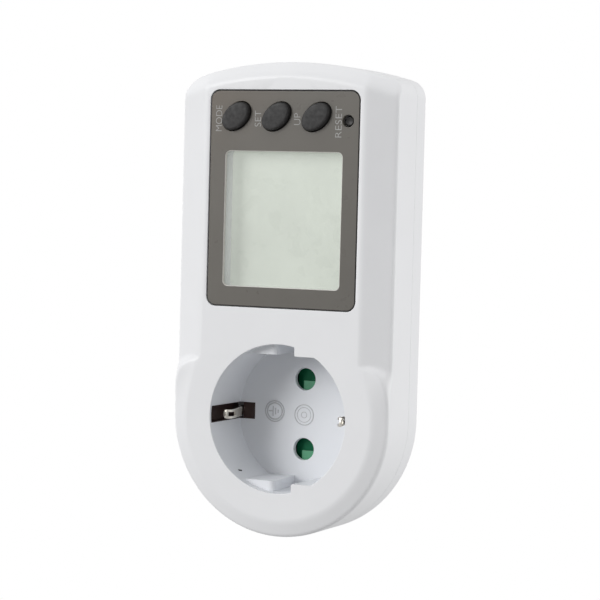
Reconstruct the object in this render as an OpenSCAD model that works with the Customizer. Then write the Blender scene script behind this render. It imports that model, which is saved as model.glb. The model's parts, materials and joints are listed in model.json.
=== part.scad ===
// Plug-in power meter for round earthed sockets: plug on the back, socket and display on the front.
// +Z is up and +Y points into the wall. The origin is on the plug's end face, midway between its pins.
// A "depth" is counted from the flat front face towards the wall.

/* [Body] */
// Width of the body
body_w = 62.8; // [62:0.2:68]
// Height of the arched top above the socket axis
top_height = 94.1; // [93:0.5:98]
// Radius of the arched top
top_arc_r = 100; // [90:5:140]
// Radius of the two top corners
top_corner_r = 5; // [4:0.5:7]
// Depth of the body from its front face to its wall side
body_d = 22; // [22:0.2:24]
// Wall thickness of both shells
wall = 2; // [1.8:0.1:2.2]
// Depth of the joint between the two shells
seam_d = 15; // [14:0.5:16]
// Half width of the flat front beside the display
flat_half_w = 23.3; // [23:0.1:24.5]
// How far the front falls away towards its long sides
side_fall = 3; // [2:0.25:3.5]
// Radius of the flat round boss about the socket
boss_flat_r = 27.3; // [26.5:0.1:28.5]
// How far the boss falls away at its rim
boss_fall = 1.5; // [1:0.1:2]
// Size of the sloping band along the top edge
top_band = 3.3; // [2:0.1:4]

/* [Socket] */
// Radius of the socket recess at its rim
recess_rim_r = 19.74; // [19.6:0.02:19.9]
// Radius of the socket recess at its floor
recess_floor_r = 19.53; // [19.4:0.01:19.6]
// Depth of the socket recess
recess_d = 17.5; // [17.5:0.1:18]
// Diameter of the pin holes in the recess floor
pin_hole_d = 6; // [5.8:0.1:6.2]
// Distance of the guide flats from the socket axis
guide_flat = 16.8; // [16.5:0.1:17.2]

/* [Plug] */
// Distance between the pin axes
pin_pitch = 19; // [19:0.1:19.2]
// Pin diameter
pin_d = 4.8; // [4.75:0.01:4.85]
// Pin length beyond the plug face
pin_l = 19; // [18.5:0.1:19.5]
// Height of the plug body behind the wall side
plug_h = 17.5; // [17:0.1:17.5]
// Radius of the plug body
plug_r = 18.5; // [18.3:0.1:18.6]

/* [Display and keys] */
// Width of the display bezel
bezel_w = 43.1; // [43:0.1:44]
// Height of the display bezel
bezel_h = 57.1; // [57:0.1:58]
// Height of the bezel's centre above the socket axis
bezel_z = 57.9; // [57.5:0.1:58.5]
// Width of the clear window
window_w = 33.8; // [33:0.2:34.4]
// Height of the clear window
window_h = 35.7; // [35:0.1:36.2]
// Height of the window's centre above the socket axis
window_z = 52.55; // [52.4:0.05:52.7]
// Half length of an oval key
key_a = 4.45; // [4.3:0.05:4.8]
// Half width of an oval key
key_b = 3.05; // [2.9:0.05:3.3]
// Slant of the oval keys
key_tilt = 40; // [35:1:50]
// Height of the keys above the bezel
key_rise = 1.5; // [1.2:0.1:1.8]
// Key travel
key_travel = 1.1; // [0.8:0.05:1.1]

/* [Hidden] */
$fn = 64;
eps = 0.01;
joint_gap = 0.3;      // clearance between pieces that move past each other

plug_face_d = body_d + plug_h;
front_y = -plug_face_d;
half_w = body_w / 2;
inner_back_d = body_d - wall;

// arched top and its corners
arc_z = top_height - top_arc_r;
corner_x = half_w - top_corner_r;
corner_z = arc_z + sqrt(pow(top_arc_r - top_corner_r, 2) - pow(corner_x, 2));
shoulder_r = 1;
rear_edge_r = 1.6;
lip_t = 0.9;
lip_h = 1.4;
lip_gap = 0.1;

// socket
cup_r = recess_rim_r + 1.46;
floor_t = 1.5;
floor_back_d = recess_d + floor_t;
pin_z = pin_pitch / 2;
slot_half_h = 2.1;
slot_inner_x = 15;
guide_end_x = 4.7;
guide_step_x = -1.6;
guide_step_d = 3;

// casing screws: [x, z] on the right, mirrored to the left
screw_at = [[24.9, 81.2], [17.7, -17.7]];
boss_r = 3.2;
column_r = 3.6;
column_d = 16;
screw_seat_d = 18.5;
screw_r = 1.4;

// display stack
bezel_d = 0.15;
bezel_t = 1.4;
bezel_r = 2.5;
bezel_gap = 0.3;
tray_d = bezel_d + bezel_t + 0.05;
tray_back_d = 3.2;
well_back_d = 5.1;
well_w = window_w + 0.6;
well_h = window_h + 0.7;
well_t = 1.2;
lens_d = bezel_d + 0.87;
lcd_d = well_back_d + 0.05;
lcd_t = 1.9;
lcd_w = 38.6;
lcd_h = 41;
reflector_t = 0.3;
board_d = 9.4;
board_t = 1.2;
board_half_w = 21;
board_back_d = board_d + board_t;
display_post_at = [[19, 26.5], [19, 86.8]];
post_r = 2.2;
small_screw_r = 0.8;
small_head_r = 1.7;
zebra_off = 19.2;
cell_at = [0, 65];
cell_d = board_back_d + 0.4;

// keys
key_x = [-13.9, -2.2, 9.3];
key_z = 79.6;
flange_d = tray_back_d + joint_gap;
flange_t = 0.8;
pill_end_d = board_d - 0.05 - key_travel;
reset_x = 18.3;
reset_z = 78.6;
reset_r = 1.2;
reset_hole_r = 1.6;

// power board
power_d = 17.4;
power_t = 1.4;
power_bottom_z = 25;
power_top_z = 88;
power_post_at = [[18.6, 58], [18.6, 86]];

// plug body and contacts
plug_flat = 16.5;
plug_end_t = 2;
hollow_r = 15.7;
hollow_flat = 14.9;
hollow_end_d = plug_face_d - plug_end_t;
mouth_r = 16.6;
groove_half_h = 2.6;
groove_floor_x = 16.7;
carrier_d = 22.6;
sleeve_r = 2.6;
sleeve_t = 0.55;
sleeve_d = 23.2;
sleeve_end_d = 33;
tag_t = 0.6;
pin_seat_r = pin_d / 2 + 0.05;   // shallow sink around the foot of each pin
pin_seat_l = 0.3;
shank_r = 2.1;
shank_l = 1.5;
rivet_r = 1.5;
pin_fit = 0.02;       // clearance of the shanks and rivets that are set in the plug face
bus_d = 19.3;
bus_t = 0.5;
bridge_d = 21.4;
bridge_t = 0.6;
bridge_half_l = 17.2;
clip_t = 0.5;
clip_half_h = 1.3;
foot_z = 14.4;        // outer face of the strips that stand beside the sleeves
strip_half_w = 2;

// shutter
shutter_d = 19.15;
shutter_back_d = 20.65;
shutter_left = -3.2;
shutter_right = 3.4;
shutter_half_l = 12.6;
spring_stop_x = -13.2;
spring_wire_r = 0.13;
spring_coil_r = 0.8;
spring_turns = 8;

// ---- helpers ----

function unit(v) = v / norm(v);

// points of an arc that rounds the corner b of the path a, b, c
function fillet(a, b, c, r, n = 6) =
  let (u = unit(a - b), v = unit(c - b), half = acos(u * v) / 2,
       m = b + unit(u + v) * r / sin(half),
       s = b + u * r / tan(half), e = b + v * r / tan(half),
       a0 = atan2(s.y - m.y, s.x - m.x), a1 = atan2(e.y - m.y, e.x - m.x),
       sweep = (a1 - a0 + 540) % 360 - 180)
  [for (i = [0:n]) m + r * [cos(a0 + sweep * i / n), sin(a0 + sweep * i / n)]];

// [distance from the axis, depth] along a front that falls away from a flat to a wall, inset by t
function front_edge(flat, side, fall, t, end_d) =
  let (a = atan(fall / (side - flat)),
       p0 = [flat - t * tan(a / 2), t],
       p1 = [side - t, t / cos(a) + (side - t - flat) * tan(a)],
       p2 = [side - t, end_d])
  concat([p0], t > 0 ? [p1] : fillet(p0, p1, p2, shoulder_r), [p2]);

// the same for the wall side of the body
function rear_edge(side, t, start_d) =
  let (p0 = [side - t, start_d], p1 = [side - t, body_d - t], p2 = [0, body_d - t])
  concat([p0], t > 0 ? [p1] : fillet(p0, p1, p2, rear_edge_r));

function mirrored(p) = concat([for (i = [len(p) - 1:-1:0]) [-p[i].x, p[i].y]], p);

function closed_at_axis(p) = concat([[0, p[0].y]], p, [[0, p[len(p) - 1].y]]);

function oval(a, b, tilt, n = 48) =
  [for (i = [0:n - 1]) let (t = 360 * i / n)
    [a * cos(t) * cos(tilt) - b * sin(t) * sin(tilt), a * cos(t) * sin(tilt) + b * sin(t) * cos(tilt)]];

// extrudes a front view (x, z) between two depths
module slab(d0, d1) {
  translate([0, front_y + d1, 0]) rotate([90, 0, 0]) linear_extrude(d1 - d0) children();
}

// turns a [radius, depth] outline about the Y axis
module lathe() {
  translate([0, front_y, 0]) rotate([-90, 0, 0]) rotate_extrude($fn = 128) children();
}

// extrudes a top view (x, depth) upwards between two heights
module course(z0, z1) {
  translate([0, front_y, z0]) linear_extrude(z1 - z0) children();
}

module block(x0, x1, d0, d1, z0, z1) {
  translate([x0, front_y + d0, z0]) cube([x1 - x0, d1 - d0, z1 - z0]);
}

module peg(x, z, d0, d1, r) {
  slab(d0, d1) translate([x, z]) circle(r);
}

// round wire of diameter d through points given as [x, depth, z]
module wire(points, d, sides = 10) {
  last = len(points) - 1;
  rings = [for (i = [0:last])
    let (along = unit(points[min(i + 1, last)] - points[max(i - 1, 0)]),
         across = unit(cross(along, [0.31, 0.9, 0.3])), up = cross(along, across))
    for (j = [0:sides - 1]) let (a = 360 * j / sides)
      points[i] + [0, front_y, 0] + d / 2 * (cos(a) * across + sin(a) * up)];
  tube(rings, sides, last);
}

// closed skin over rings of points that follow one another
module tube(rings, sides, last) {
  skin = [for (i = [0:last - 1], j = [0:sides - 1])
    let (k = (j + 1) % sides, a = i * sides, b = a + sides)
    each [[a + j, b + k, a + k], [a + j, b + j, b + k]]];
  start_cap = [for (j = [0:sides - 1]) j];
  end_cap = [for (j = [sides - 1:-1:0]) last * sides + j];
  polyhedron(rings, concat(skin, [start_cap, end_cap]), convexity = 10);
}

module both_sides() {
  children();
  mirror([1, 0, 0]) children();
}

module round_rect(w, h, r) {
  square([w - 2 * r, h], center = true);
  square([w, h - 2 * r], center = true);
  for (x = [-1, 1], z = [-1, 1]) translate([x * (w / 2 - r), z * (h / 2 - r)]) circle(r);
}

// strip of sheet metal along a [x, depth] path
module strip(path, t, half_h) {
  course(-half_h, half_h) {
    for (i = [0:len(path) - 2]) strip_leg(path[i], path[i + 1], t);
    for (p = path) translate(p) circle(t / 2, $fn = 24);
  }
}

module strip_leg(p, q, t) {
  n = unit([q.y - p.y, p.x - q.x]) * t / 2;
  polygon([p + n, q + n, q - n, p - n]);
}

// ---- body outline ----

module upper_outline(t) {
  reach_x = corner_x + (top_corner_r - t) * corner_x / (top_arc_r - top_corner_r);
  intersection() {
    translate([0, arc_z]) circle(top_arc_r - t, $fn = 256);
    union() {
      translate([-reach_x, 0]) square([2 * reach_x, top_height]);
      translate([t - half_w, 0]) square([body_w - 2 * t, corner_z]);
      for (s = [-1, 1]) translate([s * corner_x, corner_z]) circle(top_corner_r - t);
    }
  }
}

module outline(t) {
  upper_outline(t);
  circle(half_w - t, $fn = 128);
}

module front_form(t, end_d) {
  intersection() {
    course(0, top_height) polygon(mirrored(front_edge(flat_half_w, half_w, side_fall, t, end_d)));
    translate([0, 0, arc_z])
      lathe() polygon(closed_at_axis(front_edge(top_arc_r - top_band, top_arc_r, top_band, t, end_d)));
    slab(0, end_d) upper_outline(t);
  }
  lathe() polygon(closed_at_axis(front_edge(boss_flat_r, half_w, boss_fall, t, end_d)));
}

module rear_form(t, start_d) {
  intersection() {
    course(0, top_height) polygon(mirrored(rear_edge(half_w, t, start_d)));
    translate([0, 0, arc_z]) lathe() polygon(closed_at_axis(rear_edge(top_arc_r, t, start_d)));
    slab(start_d, body_d) upper_outline(t);
  }
  lathe() polygon(closed_at_axis(rear_edge(half_w, t, start_d)));
}

// ---- shells ----

module recess_cut() {
  rim = 0.4;
  lathe() polygon([[0, -1], [recess_rim_r + rim, -1], [recess_rim_r + rim, 0], [recess_rim_r, rim],
                   [recess_floor_r, recess_d], [0, recess_d]]);
}

// the two guide blocks at the top or the bottom of the recess
module guide_blocks() {
  end_x = sqrt(pow(recess_rim_r, 2) - pow(guide_flat, 2));
  intersection() {
    course(guide_flat, cup_r) {
      polygon([[guide_end_x, 0], [end_x + 1, 0], [end_x + 1, recess_d + eps], [guide_end_x, recess_d + eps]]);
      polygon(concat([[-end_x - 1, recess_d + eps], [-end_x - 1, guide_step_d]],
                     fillet([-end_x, guide_step_d], [guide_step_x, guide_step_d],
                            [guide_step_x - 1, recess_d], 1.5),
                     [[guide_step_x - 1, recess_d + eps]]));
    }
    slab(0, recess_d + eps) circle(recess_rim_r + 0.3, $fn = 128);
  }
}

module key_holes(grow) {
  for (x = key_x) translate([x, key_z]) polygon(oval(key_a + grow, key_b + grow, key_tilt));
}

module front_shell() {
  color("white") difference() {
    union() {
      difference() {
        front_form(0, seam_d);
        front_form(wall, seam_d + 1);
      }
      slab(1, floor_back_d) circle(cup_r, $fn = 128);
      slab(1, tray_back_d) translate([0, bezel_z]) round_rect(bezel_w + 3, bezel_h + 3, bezel_r + 1.5);
      slab(tray_back_d - eps, well_back_d)
        translate([0, window_z]) round_rect(well_w + 2 * well_t, well_h + 2 * well_t, 2.4);
      both_sides() {
        for (p = screw_at) peg(p.x, p.y, 1.5, column_d - 0.1, boss_r);
        for (p = display_post_at) peg(p.x, p.y, 1.5, board_d, post_r);
      }
      shutter_guides();
    }
    difference() {
      recess_cut();
      guide_blocks();
      mirror([0, 0, 1]) guide_blocks();
    }
    slab(-1, tray_d) translate([0, bezel_z])
      round_rect(bezel_w + 2 * bezel_gap, bezel_h + 2 * bezel_gap, bezel_r + bezel_gap);
    slab(0, well_back_d + eps) translate([0, window_z]) round_rect(well_w, well_h, 1.3);
    slab(0, tray_back_d + eps) {
      key_holes(joint_gap);
      translate([reset_x, reset_z]) circle(reset_hole_r);
    }
    for (s = [-1, 1]) peg(0, s * pin_z, recess_d - 1, floor_back_d + 1, pin_hole_d / 2);
    both_sides() {
      block(slot_inner_x, cup_r + 0.1, 0.9, floor_back_d + eps, -slot_half_h, slot_half_h);
      for (p = screw_at) peg(p.x, p.y, 7.5, column_d, screw_r + 0.02);
      for (p = display_post_at) peg(p.x, p.y, 5.6, board_d + 1, small_screw_r + 0.03);
    }
  }
}

// rails behind the recess floor that guide the shutter, and the stop for its spring
module shutter_guides() {
  rail_t = 0.8;
  rail_z = shutter_half_l + 0.35;
  for (z = [rail_z, -rail_z - rail_t]) block(-12, 5, floor_back_d - eps, floor_back_d + 0.9, z, z + rail_t);
  block(spring_stop_x - 1, spring_stop_x, floor_back_d - eps, shutter_back_d, -2, 2);
}

module plug_outline(r, flat) {
  intersection() {
    circle(r, $fn = 128);
    square([2 * r, 2 * flat], center = true);
  }
}

module rear_shell() {
  color("whitesmoke") difference() {
    union() {
      difference() {
        rear_form(0, seam_d);
        rear_form(wall, seam_d - 1);
      }
      slab(seam_d - lip_h, seam_d + 1) difference() {
        outline(wall + lip_gap);
        outline(wall + lip_gap + lip_t);
      }
      slab(inner_back_d, plug_face_d - 1) plug_outline(plug_r, plug_flat);
      slab(plug_face_d - 1 - eps, plug_face_d) plug_outline(plug_r - 0.5, plug_flat - 0.5);
      both_sides() {
        for (p = screw_at) peg(p.x, p.y, column_d, body_d - eps, column_r);
        for (p = power_post_at) peg(p.x, p.y, power_d + power_t, inner_back_d + eps, post_r);
      }
    }
    slab(inner_back_d - eps, body_d + eps) circle(mouth_r, $fn = 128);
    slab(body_d, hollow_end_d) plug_outline(hollow_r, hollow_flat);
    for (s = [-1, 1]) {
      peg(0, s * pin_z, plug_face_d - pin_seat_l, plug_face_d + 1, pin_seat_r);
      peg(0, s * pin_z, plug_face_d - shank_l, plug_face_d, shank_r + pin_fit);
      peg(0, s * pin_z, hollow_end_d - 1, plug_face_d, rivet_r + pin_fit);
    }
    both_sides() {
      block(slot_inner_x, plug_r - 0.15, inner_back_d - eps, body_d + eps, -groove_half_h, groove_half_h);
      block(groove_floor_x, plug_r + 1, body_d + eps, plug_face_d - 2.5, -groove_half_h, groove_half_h);
      for (p = screw_at) {
        peg(p.x, p.y, column_d - 1, body_d, screw_r + 0.2);
        peg(p.x, p.y, screw_seat_d, body_d + 1, 3);
      }
      for (p = power_post_at) peg(p.x, p.y, power_d, inner_back_d + 0.7, small_screw_r + 0.03);
    }
    slab(body_d - 0.25, body_d + 1) translate([0, 56]) round_rect(34.4, 22.4, 1.6);
  }
}

// ---- display ----

module display_bezel() {
  color("dimgray") difference() {
    slab(bezel_d, bezel_d + bezel_t) translate([0, bezel_z]) round_rect(bezel_w, bezel_h, bezel_r);
    slab(0, bezel_d + bezel_t + 1) {
      translate([0, window_z]) round_rect(window_w, window_h, 1.3);
      key_holes(0.25);
      translate([reset_x, reset_z]) circle(reset_hole_r);
    }
    slab(lens_d - 0.02, bezel_d + bezel_t + 1)
      translate([0, window_z]) round_rect(window_w + 4.4, window_h + 4.4, 1.5);
  }
}

module display_lens() {
  color("lightcyan", 0.3) slab(lens_d, bezel_d + bezel_t)
    translate([0, window_z]) round_rect(window_w + 4, window_h + 4, 1.3);
}

module lcd_glass() {
  color("honeydew") slab(lcd_d, lcd_d + lcd_t) translate([0, window_z]) square([lcd_w, lcd_h], center = true);
}

module lcd_reflector() {
  color("silver") slab(lcd_d + lcd_t, lcd_d + lcd_t + reflector_t)
    translate([0, window_z]) square([36, 36], center = true);
}

module zebra_seat(grow) {
  square([36.4 + grow, 2.4 + grow], center = true);
}

module lcd_holder() {
  color("ivory") difference() {
    slab(lcd_d, board_d) translate([0, window_z]) square([lcd_w + 3.2, lcd_h + 2.4], center = true);
    slab(lcd_d - 1, lcd_d + lcd_t + reflector_t + 0.05)
      translate([0, window_z]) square([lcd_w + 0.3, lcd_h + 0.3], center = true);
    slab(lcd_d, board_d + 1) {
      translate([0, window_z]) square([34, 32], center = true);
      for (s = [-1, 1]) translate([0, window_z + s * zebra_off]) zebra_seat(0.3);
    }
  }
}

module zebra_strip(side) {
  color("pink") slab(lcd_d + lcd_t, board_d) translate([0, window_z + side * zebra_off]) zebra_seat(0);
}

module zebra_strip_top() { zebra_strip(1); }
module zebra_strip_bottom() { zebra_strip(-1); }

module display_board() {
  color("darkgreen") difference() {
    slab(board_d, board_back_d) translate([-board_half_w, 23.8]) square([2 * board_half_w, 64.8]);
    both_sides() for (p = display_post_at) peg(p.x, p.y, board_d - 1, board_back_d + 1, small_screw_r + 0.1);
  }
}

// hardened drop of resin over the bare chip
module controller_chip() {
  dome_r = 6;
  dome_h = 1.1;
  ball_r = (dome_r * dome_r + dome_h * dome_h) / (2 * dome_h);
  arc = [for (i = [0:8]) let (a = asin(dome_r / ball_r) * i / 8)
    [ball_r * sin(a), board_back_d + dome_h - ball_r * (1 - cos(a))]];
  color("black") translate([-8, 0, 44]) lathe() polygon(concat([[0, board_back_d]], arc));
}

module timing_crystal() {
  color("silver") {
    translate([6, front_y + board_back_d + 1.5, 44]) rotate([0, 90, 0]) cylinder(h = 8, r = 1.5, $fn = 32);
    for (z = [43.4, 44.6]) block(2.4, 6.1, board_back_d, board_back_d + 0.4, z - 0.2, z + 0.2);
  }
}

module backup_cell() {
  color("gainsboro") {
    peg(cell_at.x, cell_at.y, cell_d, cell_d + 0.8, 8.6);
    peg(cell_at.x, cell_at.y, cell_d + 0.8, cell_d + 3.2, 10);
  }
}

module cell_clip() {
  arm_z = 2.5;
  top_d = cell_d + 3.25;
  color("lightgray") for (s = [-1, 1]) translate([0, 0, cell_at.y]) {
    block(min(0, s * 11), max(0, s * 11), top_d, top_d + 0.4, -arm_z, arm_z);
    block(s > 0 ? 10.6 : -11, s > 0 ? 11 : -10.6, board_back_d, top_d + 0.1, -arm_z, arm_z);
    block(s > 0 ? 10.6 : -13, s > 0 ? 13 : -10.6, board_back_d, board_back_d + 0.3, -arm_z, arm_z);
  }
}

// ---- keys ----

module keypad_base() {
  color("dimgray") slab(board_d - 1.1, board_d) difference() {
    translate([-19.4, 75.95]) square([34.4, 8.4]);
    for (x = key_x) translate([x, key_z]) polygon(oval(4, 3, key_tilt));
  }
}

module key(i) {
  color("dimgray") translate([key_x[i], 0, key_z]) {
    slab(bezel_d - key_rise, bezel_d - key_rise + 0.4) polygon(oval(key_a - 0.4, key_b - 0.4, key_tilt));
    slab(bezel_d - key_rise + 0.4, flange_d) polygon(oval(key_a, key_b, key_tilt));
    slab(flange_d, flange_d + flange_t) polygon(oval(key_a + 1, key_b + 1, key_tilt));
    slab(flange_d + flange_t, pill_end_d - 0.4) polygon(oval(3.5, 2.5, key_tilt));
  }
}

module contact_pill(i) {
  color("black") peg(key_x[i], key_z, pill_end_d - 0.4, pill_end_d, 1.75);
}

module button_mode() { key(0); }
module button_set() { key(1); }
module button_up() { key(2); }
module contact_pill_mode() { contact_pill(0); }
module contact_pill_set() { contact_pill(1); }
module contact_pill_up() { contact_pill(2); }

module button_reset() {
  color("dimgray") {
    peg(reset_x, reset_z, 1, 6.3, reset_r);
    peg(reset_x, reset_z, flange_d, flange_d + flange_t, 2.1);
  }
}

module reset_switch() {
  color("black") difference() {
    slab(5.8, board_d) translate([reset_x, reset_z]) square([5.4, 6], center = true);
    peg(reset_x, reset_z, 5, 7.2, 1.7);
  }
}

// ---- power board and its parts ----

module power_board() {
  color("darkgreen") difference() {
    slab(power_d, power_d + power_t)
      translate([-board_half_w, power_bottom_z]) square([2 * board_half_w, power_top_z - power_bottom_z]);
    both_sides() for (p = power_post_at) peg(p.x, p.y, power_d - 1, power_d + power_t + 1, small_screw_r + 0.1);
  }
}

module dropper_capacitor() {
  color("gold") block(-20, -2.4, power_d - 5.4, power_d, 32.6, 43.4);
}

module smoothing_capacitor() {
  color("midnightblue") translate([17.4, front_y + power_d - 2.7, 29.5]) {
    cylinder(h = 11, r = 2.6);
    translate([0, 0, -0.3]) cylinder(h = 0.4, r = 2.2);
  }
}

module surge_varistor() {
  color("royalblue") {
    peg(6, 31.4, power_d - 3.8, power_d - 0.3, 4);
    for (x = [4.2, 7.8]) peg(x, 31.4, power_d - 0.4, power_d, 0.4);
  }
}

module fuse_link() {
  axis_d = power_d - 2.7;
  color("lightblue") translate([-15, front_y + axis_d, 28.6]) rotate([0, 90, 0]) cylinder(h = 9, r = 2.1);
  color("silver") for (x = [-18, -6.2])
    translate([x, front_y + axis_d, 28.6]) rotate([0, 90, 0]) cylinder(h = 3.2, r = 2.4);
}

// wire-ended part lying along X on the power board
module axial_part(x, z, l, r) {
  axis_d = power_d - r - 0.3;
  translate([x - l / 2, front_y + axis_d, z]) rotate([0, 90, 0]) cylinder(h = l, r = r, $fn = 32);
  translate([x - l / 2 - 2, front_y + axis_d, z]) rotate([0, 90, 0]) cylinder(h = l + 4, r = 0.35, $fn = 24);
  for (s = [-1, 1]) peg(x + s * (l / 2 + 1.8), z, axis_d, power_d, 0.3);
}

module rectifier_diodes() {
  color("black") for (i = [0:3]) axial_part(4.5, 38.2 + 3.2 * i, 5, 1.2);
}

module power_resistors() {
  color("tan") for (i = [0:2]) axial_part(-13, 46 + 3 * i, 6.4, 1.15);
}

module shunt_resistor() {
  color("sienna") difference() {
    block(10.6, 14.4, power_d - 4, power_d, 26.6, 28);
    block(11.4, 13.6, power_d - 3.2, power_d + 1, 26, 29);
  }
}

module metering_chip() {
  color("black") block(13, 17, power_d - 1.7, power_d - 0.2, 45, 51);
  color("silver") for (s = [-1, 1], i = [0:3])
    block(15 + s * 2.5 - 0.6, 15 + s * 2.5 + 0.6, power_d - 0.25, power_d, 45.7 + 1.3 * i, 46.1 + 1.3 * i);
}

module board_link() {
  color("black") block(-9, 9, board_back_d, board_back_d + 2.4, 80.8, 83.2);
  color("goldenrod") for (i = [0:6])
    block(-7.9 + 2.54 * i, -7.3 + 2.54 * i, board_back_d + 2.3, power_d, 81.7, 82.3);
}

// ---- shutter ----

// sliding cover behind the pin holes; a raised ramp at each hole turns the push of a pin into travel
module shutter() {
  base_d = 19.85;
  color("green") {
    block(shutter_left, shutter_right, base_d, shutter_back_d, -shutter_half_l, shutter_half_l);
    block(shutter_left, shutter_right, shutter_d, base_d + eps, -6, 6);
    for (s = [-1, 1]) {
      course(s * pin_z - 3.1, s * pin_z - 0.5)
        polygon([[-1.3, base_d + eps], [-1.3, shutter_d + 0.05], [shutter_right, shutter_d + 0.45],
                 [shutter_right, base_d + eps]]);
    }
  }
}

// compression spring along X between its stop and the shutter
module shutter_spring() {
  sides = 6;
  steps = 12 * spring_turns;
  x0 = spring_stop_x + spring_wire_r + 0.02;
  length = shutter_left - 0.02 - spring_wire_r - x0;
  centre_d = 20;
  rings = [for (i = [0:steps]) let (t = 360 * spring_turns * i / steps, x = x0 + length * i / steps)
    for (j = [0:sides - 1]) let (a = 360 * j / sides, r = spring_coil_r + spring_wire_r * cos(a))
      [x + spring_wire_r * sin(a), front_y + centre_d + r * cos(t), r * sin(t)]];
  color("silver") tube(rings, sides, steps);
}

// ---- contacts ----

module contact_carrier() {
  tag_d = hollow_end_d - tag_t - 0.4;
  strap_room = 0.3;
  color("darkslategray") difference() {
    union() {
      slab(carrier_d, hollow_end_d) plug_outline(hollow_r - 0.2, hollow_flat - 0.2);
      for (z = [4, -5.2]) block(-12, 8, shutter_back_d + 0.15, carrier_d + eps, z, z + 1.2);
      both_sides() block(8, 12, bridge_d + bridge_t, carrier_d + eps, -2, 2);
    }
    for (s = [-1, 1]) {
      slab(carrier_d - 1, hollow_end_d + 1) translate([0, s * pin_z]) square([8.4, 7.4], center = true);
      block(-2.4, 2.4, carrier_d - 1, hollow_end_d + 1, s > 0 ? 12 : -15, s > 0 ? 15 : -12);
    }
    block(-4, 9.2, tag_d, hollow_end_d + 1, 5.8, 13.2);
    block(8 - strap_room, 8.5 + strap_room, carrier_d - 1, hollow_end_d + 1, 7.2, 11.8);
  }
}

// split sleeve that grips a plug pin
module sleeve(side) {
  difference() {
    peg(0, side * pin_z, sleeve_d, sleeve_end_d, sleeve_r + sleeve_t);
    peg(0, side * pin_z, sleeve_d - 1, sleeve_end_d + 1, sleeve_r);
    block(1, 4, sleeve_d - 1, sleeve_end_d - 1.8, side * pin_z - 0.5, side * pin_z + 0.5);
  }
}

// foot that joins a sleeve to its strip
module sleeve_foot(side) {
  z = [pin_z + sleeve_r + sleeve_t / 2, foot_z];
  block(-strip_half_w, strip_half_w, sleeve_end_d - 1.6, sleeve_end_d - 1,
        side > 0 ? z[0] : -z[1], side > 0 ? z[1] : -z[0]);
}

// solder tail from the strip behind the recess to the front of the power board
module board_tail(x0, x1) {
  block(x0, x1, power_d - bus_t, bus_d + bus_t, power_bottom_z - 0.6, power_bottom_z - 0.1);
  block(x0, x1, power_d - bus_t, power_d, power_bottom_z - 0.6, power_bottom_z + 1.4);
}

module contact_line() {
  color("gold") {
    sleeve(1);
    sleeve_foot(1);
    block(-strip_half_w, strip_half_w, bus_d, sleeve_end_d - 1, foot_z - bus_t, foot_z);
    block(-strip_half_w, strip_half_w, bus_d, bus_d + bus_t, foot_z - bus_t, power_bottom_z - 0.1);
    board_tail(-1, 1);
  }
}

module contact_neutral() {
  tag_d = hollow_end_d - tag_t;
  color("gold") {
    sleeve(-1);
    sleeve_foot(-1);
    block(-strip_half_w, strip_half_w, 21.6, hollow_end_d, -foot_z, -foot_z + bus_t);
    difference() {
      block(-strip_half_w, strip_half_w, tag_d, hollow_end_d, -foot_z, -pin_z + 2.6);
      peg(0, -pin_z, tag_d - 1, hollow_end_d + 1, rivet_r + pin_fit);
    }
  }
}

// riveted tag and strap that bring the live pin's current to the power board
module line_feed_strap() {
  tag_d = hollow_end_d - tag_t;
  color("goldenrod") {
    difference() {
      block(-2.6, 8.5, tag_d, hollow_end_d, pin_z - 2, pin_z + 2);
      peg(0, pin_z, tag_d - 1, hollow_end_d + 1, rivet_r + pin_fit);
    }
    block(8, 8.5, bus_d, hollow_end_d, pin_z - 2, pin_z + 2);
    block(8, 11.5, bus_d, bus_d + bus_t, pin_z - 2, power_bottom_z - 0.1);
    board_tail(8.6, 10.4);
  }
}

// solid pin with a rounded tip, a thinner shank in the plug face, and a rivet through its tag
module plug_pin(side) {
  tip_r = 1.2;
  head_r = 2.2;
  color("silver") translate([0, 0, side * pin_z]) {
    lathe() polygon(concat(
      [[0, plug_face_d], [pin_d / 2, plug_face_d]],
      fillet([pin_d / 2, plug_face_d], [pin_d / 2, plug_face_d + pin_l], [0, plug_face_d + pin_l], tip_r),
      [[0, plug_face_d + pin_l]]));
    peg(0, 0, plug_face_d - shank_l, plug_face_d + eps, shank_r);
    peg(0, 0, hollow_end_d - tag_t - eps, plug_face_d - shank_l + eps, rivet_r);
    peg(0, 0, hollow_end_d - tag_t - 0.2, hollow_end_d - tag_t, head_r);
  }
}

module plug_pin_line() { plug_pin(1); }
module plug_pin_neutral() { plug_pin(-1); }

module neutral_sense_wire() {
  color("blue") wire([[1.2, 22.1, -13.4], [3.6, 21, -13.4], [12.6, 20.5, -7], [13.4, 19.7, 0], [13.2, 19.5, 8],
                      [13.5, 19.4, 15], [13.6, 19.4, 24.2], [13.6, 16.6, 24.4], [13.6, 17, 25.6]], 0.8);
}

// ---- earth path ----

module earth_bridge() {
  color("silver") block(-bridge_half_l, bridge_half_l, bridge_d, bridge_d + bridge_t, -2.2, 2.2);
}

// spring clip that rises through the recess floor and touches the side of a plug
module socket_earth_clip() {
  color("silver") strip([[17.35, 20.9], [17.6, 20.2], [18.9, 18.6], [19.3, 16.8], [17.2, 13.6],
                         [16.35, 5.4], [16.5, 3.9], [17.3, 3.1], [18.2, 3.7]], clip_t, clip_half_h);
}

// bowed strip in the side groove of the plug body
module plug_earth_contact() {
  color("silver") strip([[17.4, 22.55], [17.45, 24], [18.2, 26.4], [18.6, 29], [18.45, 32], [17.95, 35.2]],
                        clip_t, 2.1);
}

module socket_earth_clip_right() { socket_earth_clip(); }
module socket_earth_clip_left() { mirror([1, 0, 0]) socket_earth_clip(); }
module plug_earth_contact_right() { plug_earth_contact(); }
module plug_earth_contact_left() { mirror([1, 0, 0]) plug_earth_contact(); }

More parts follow.
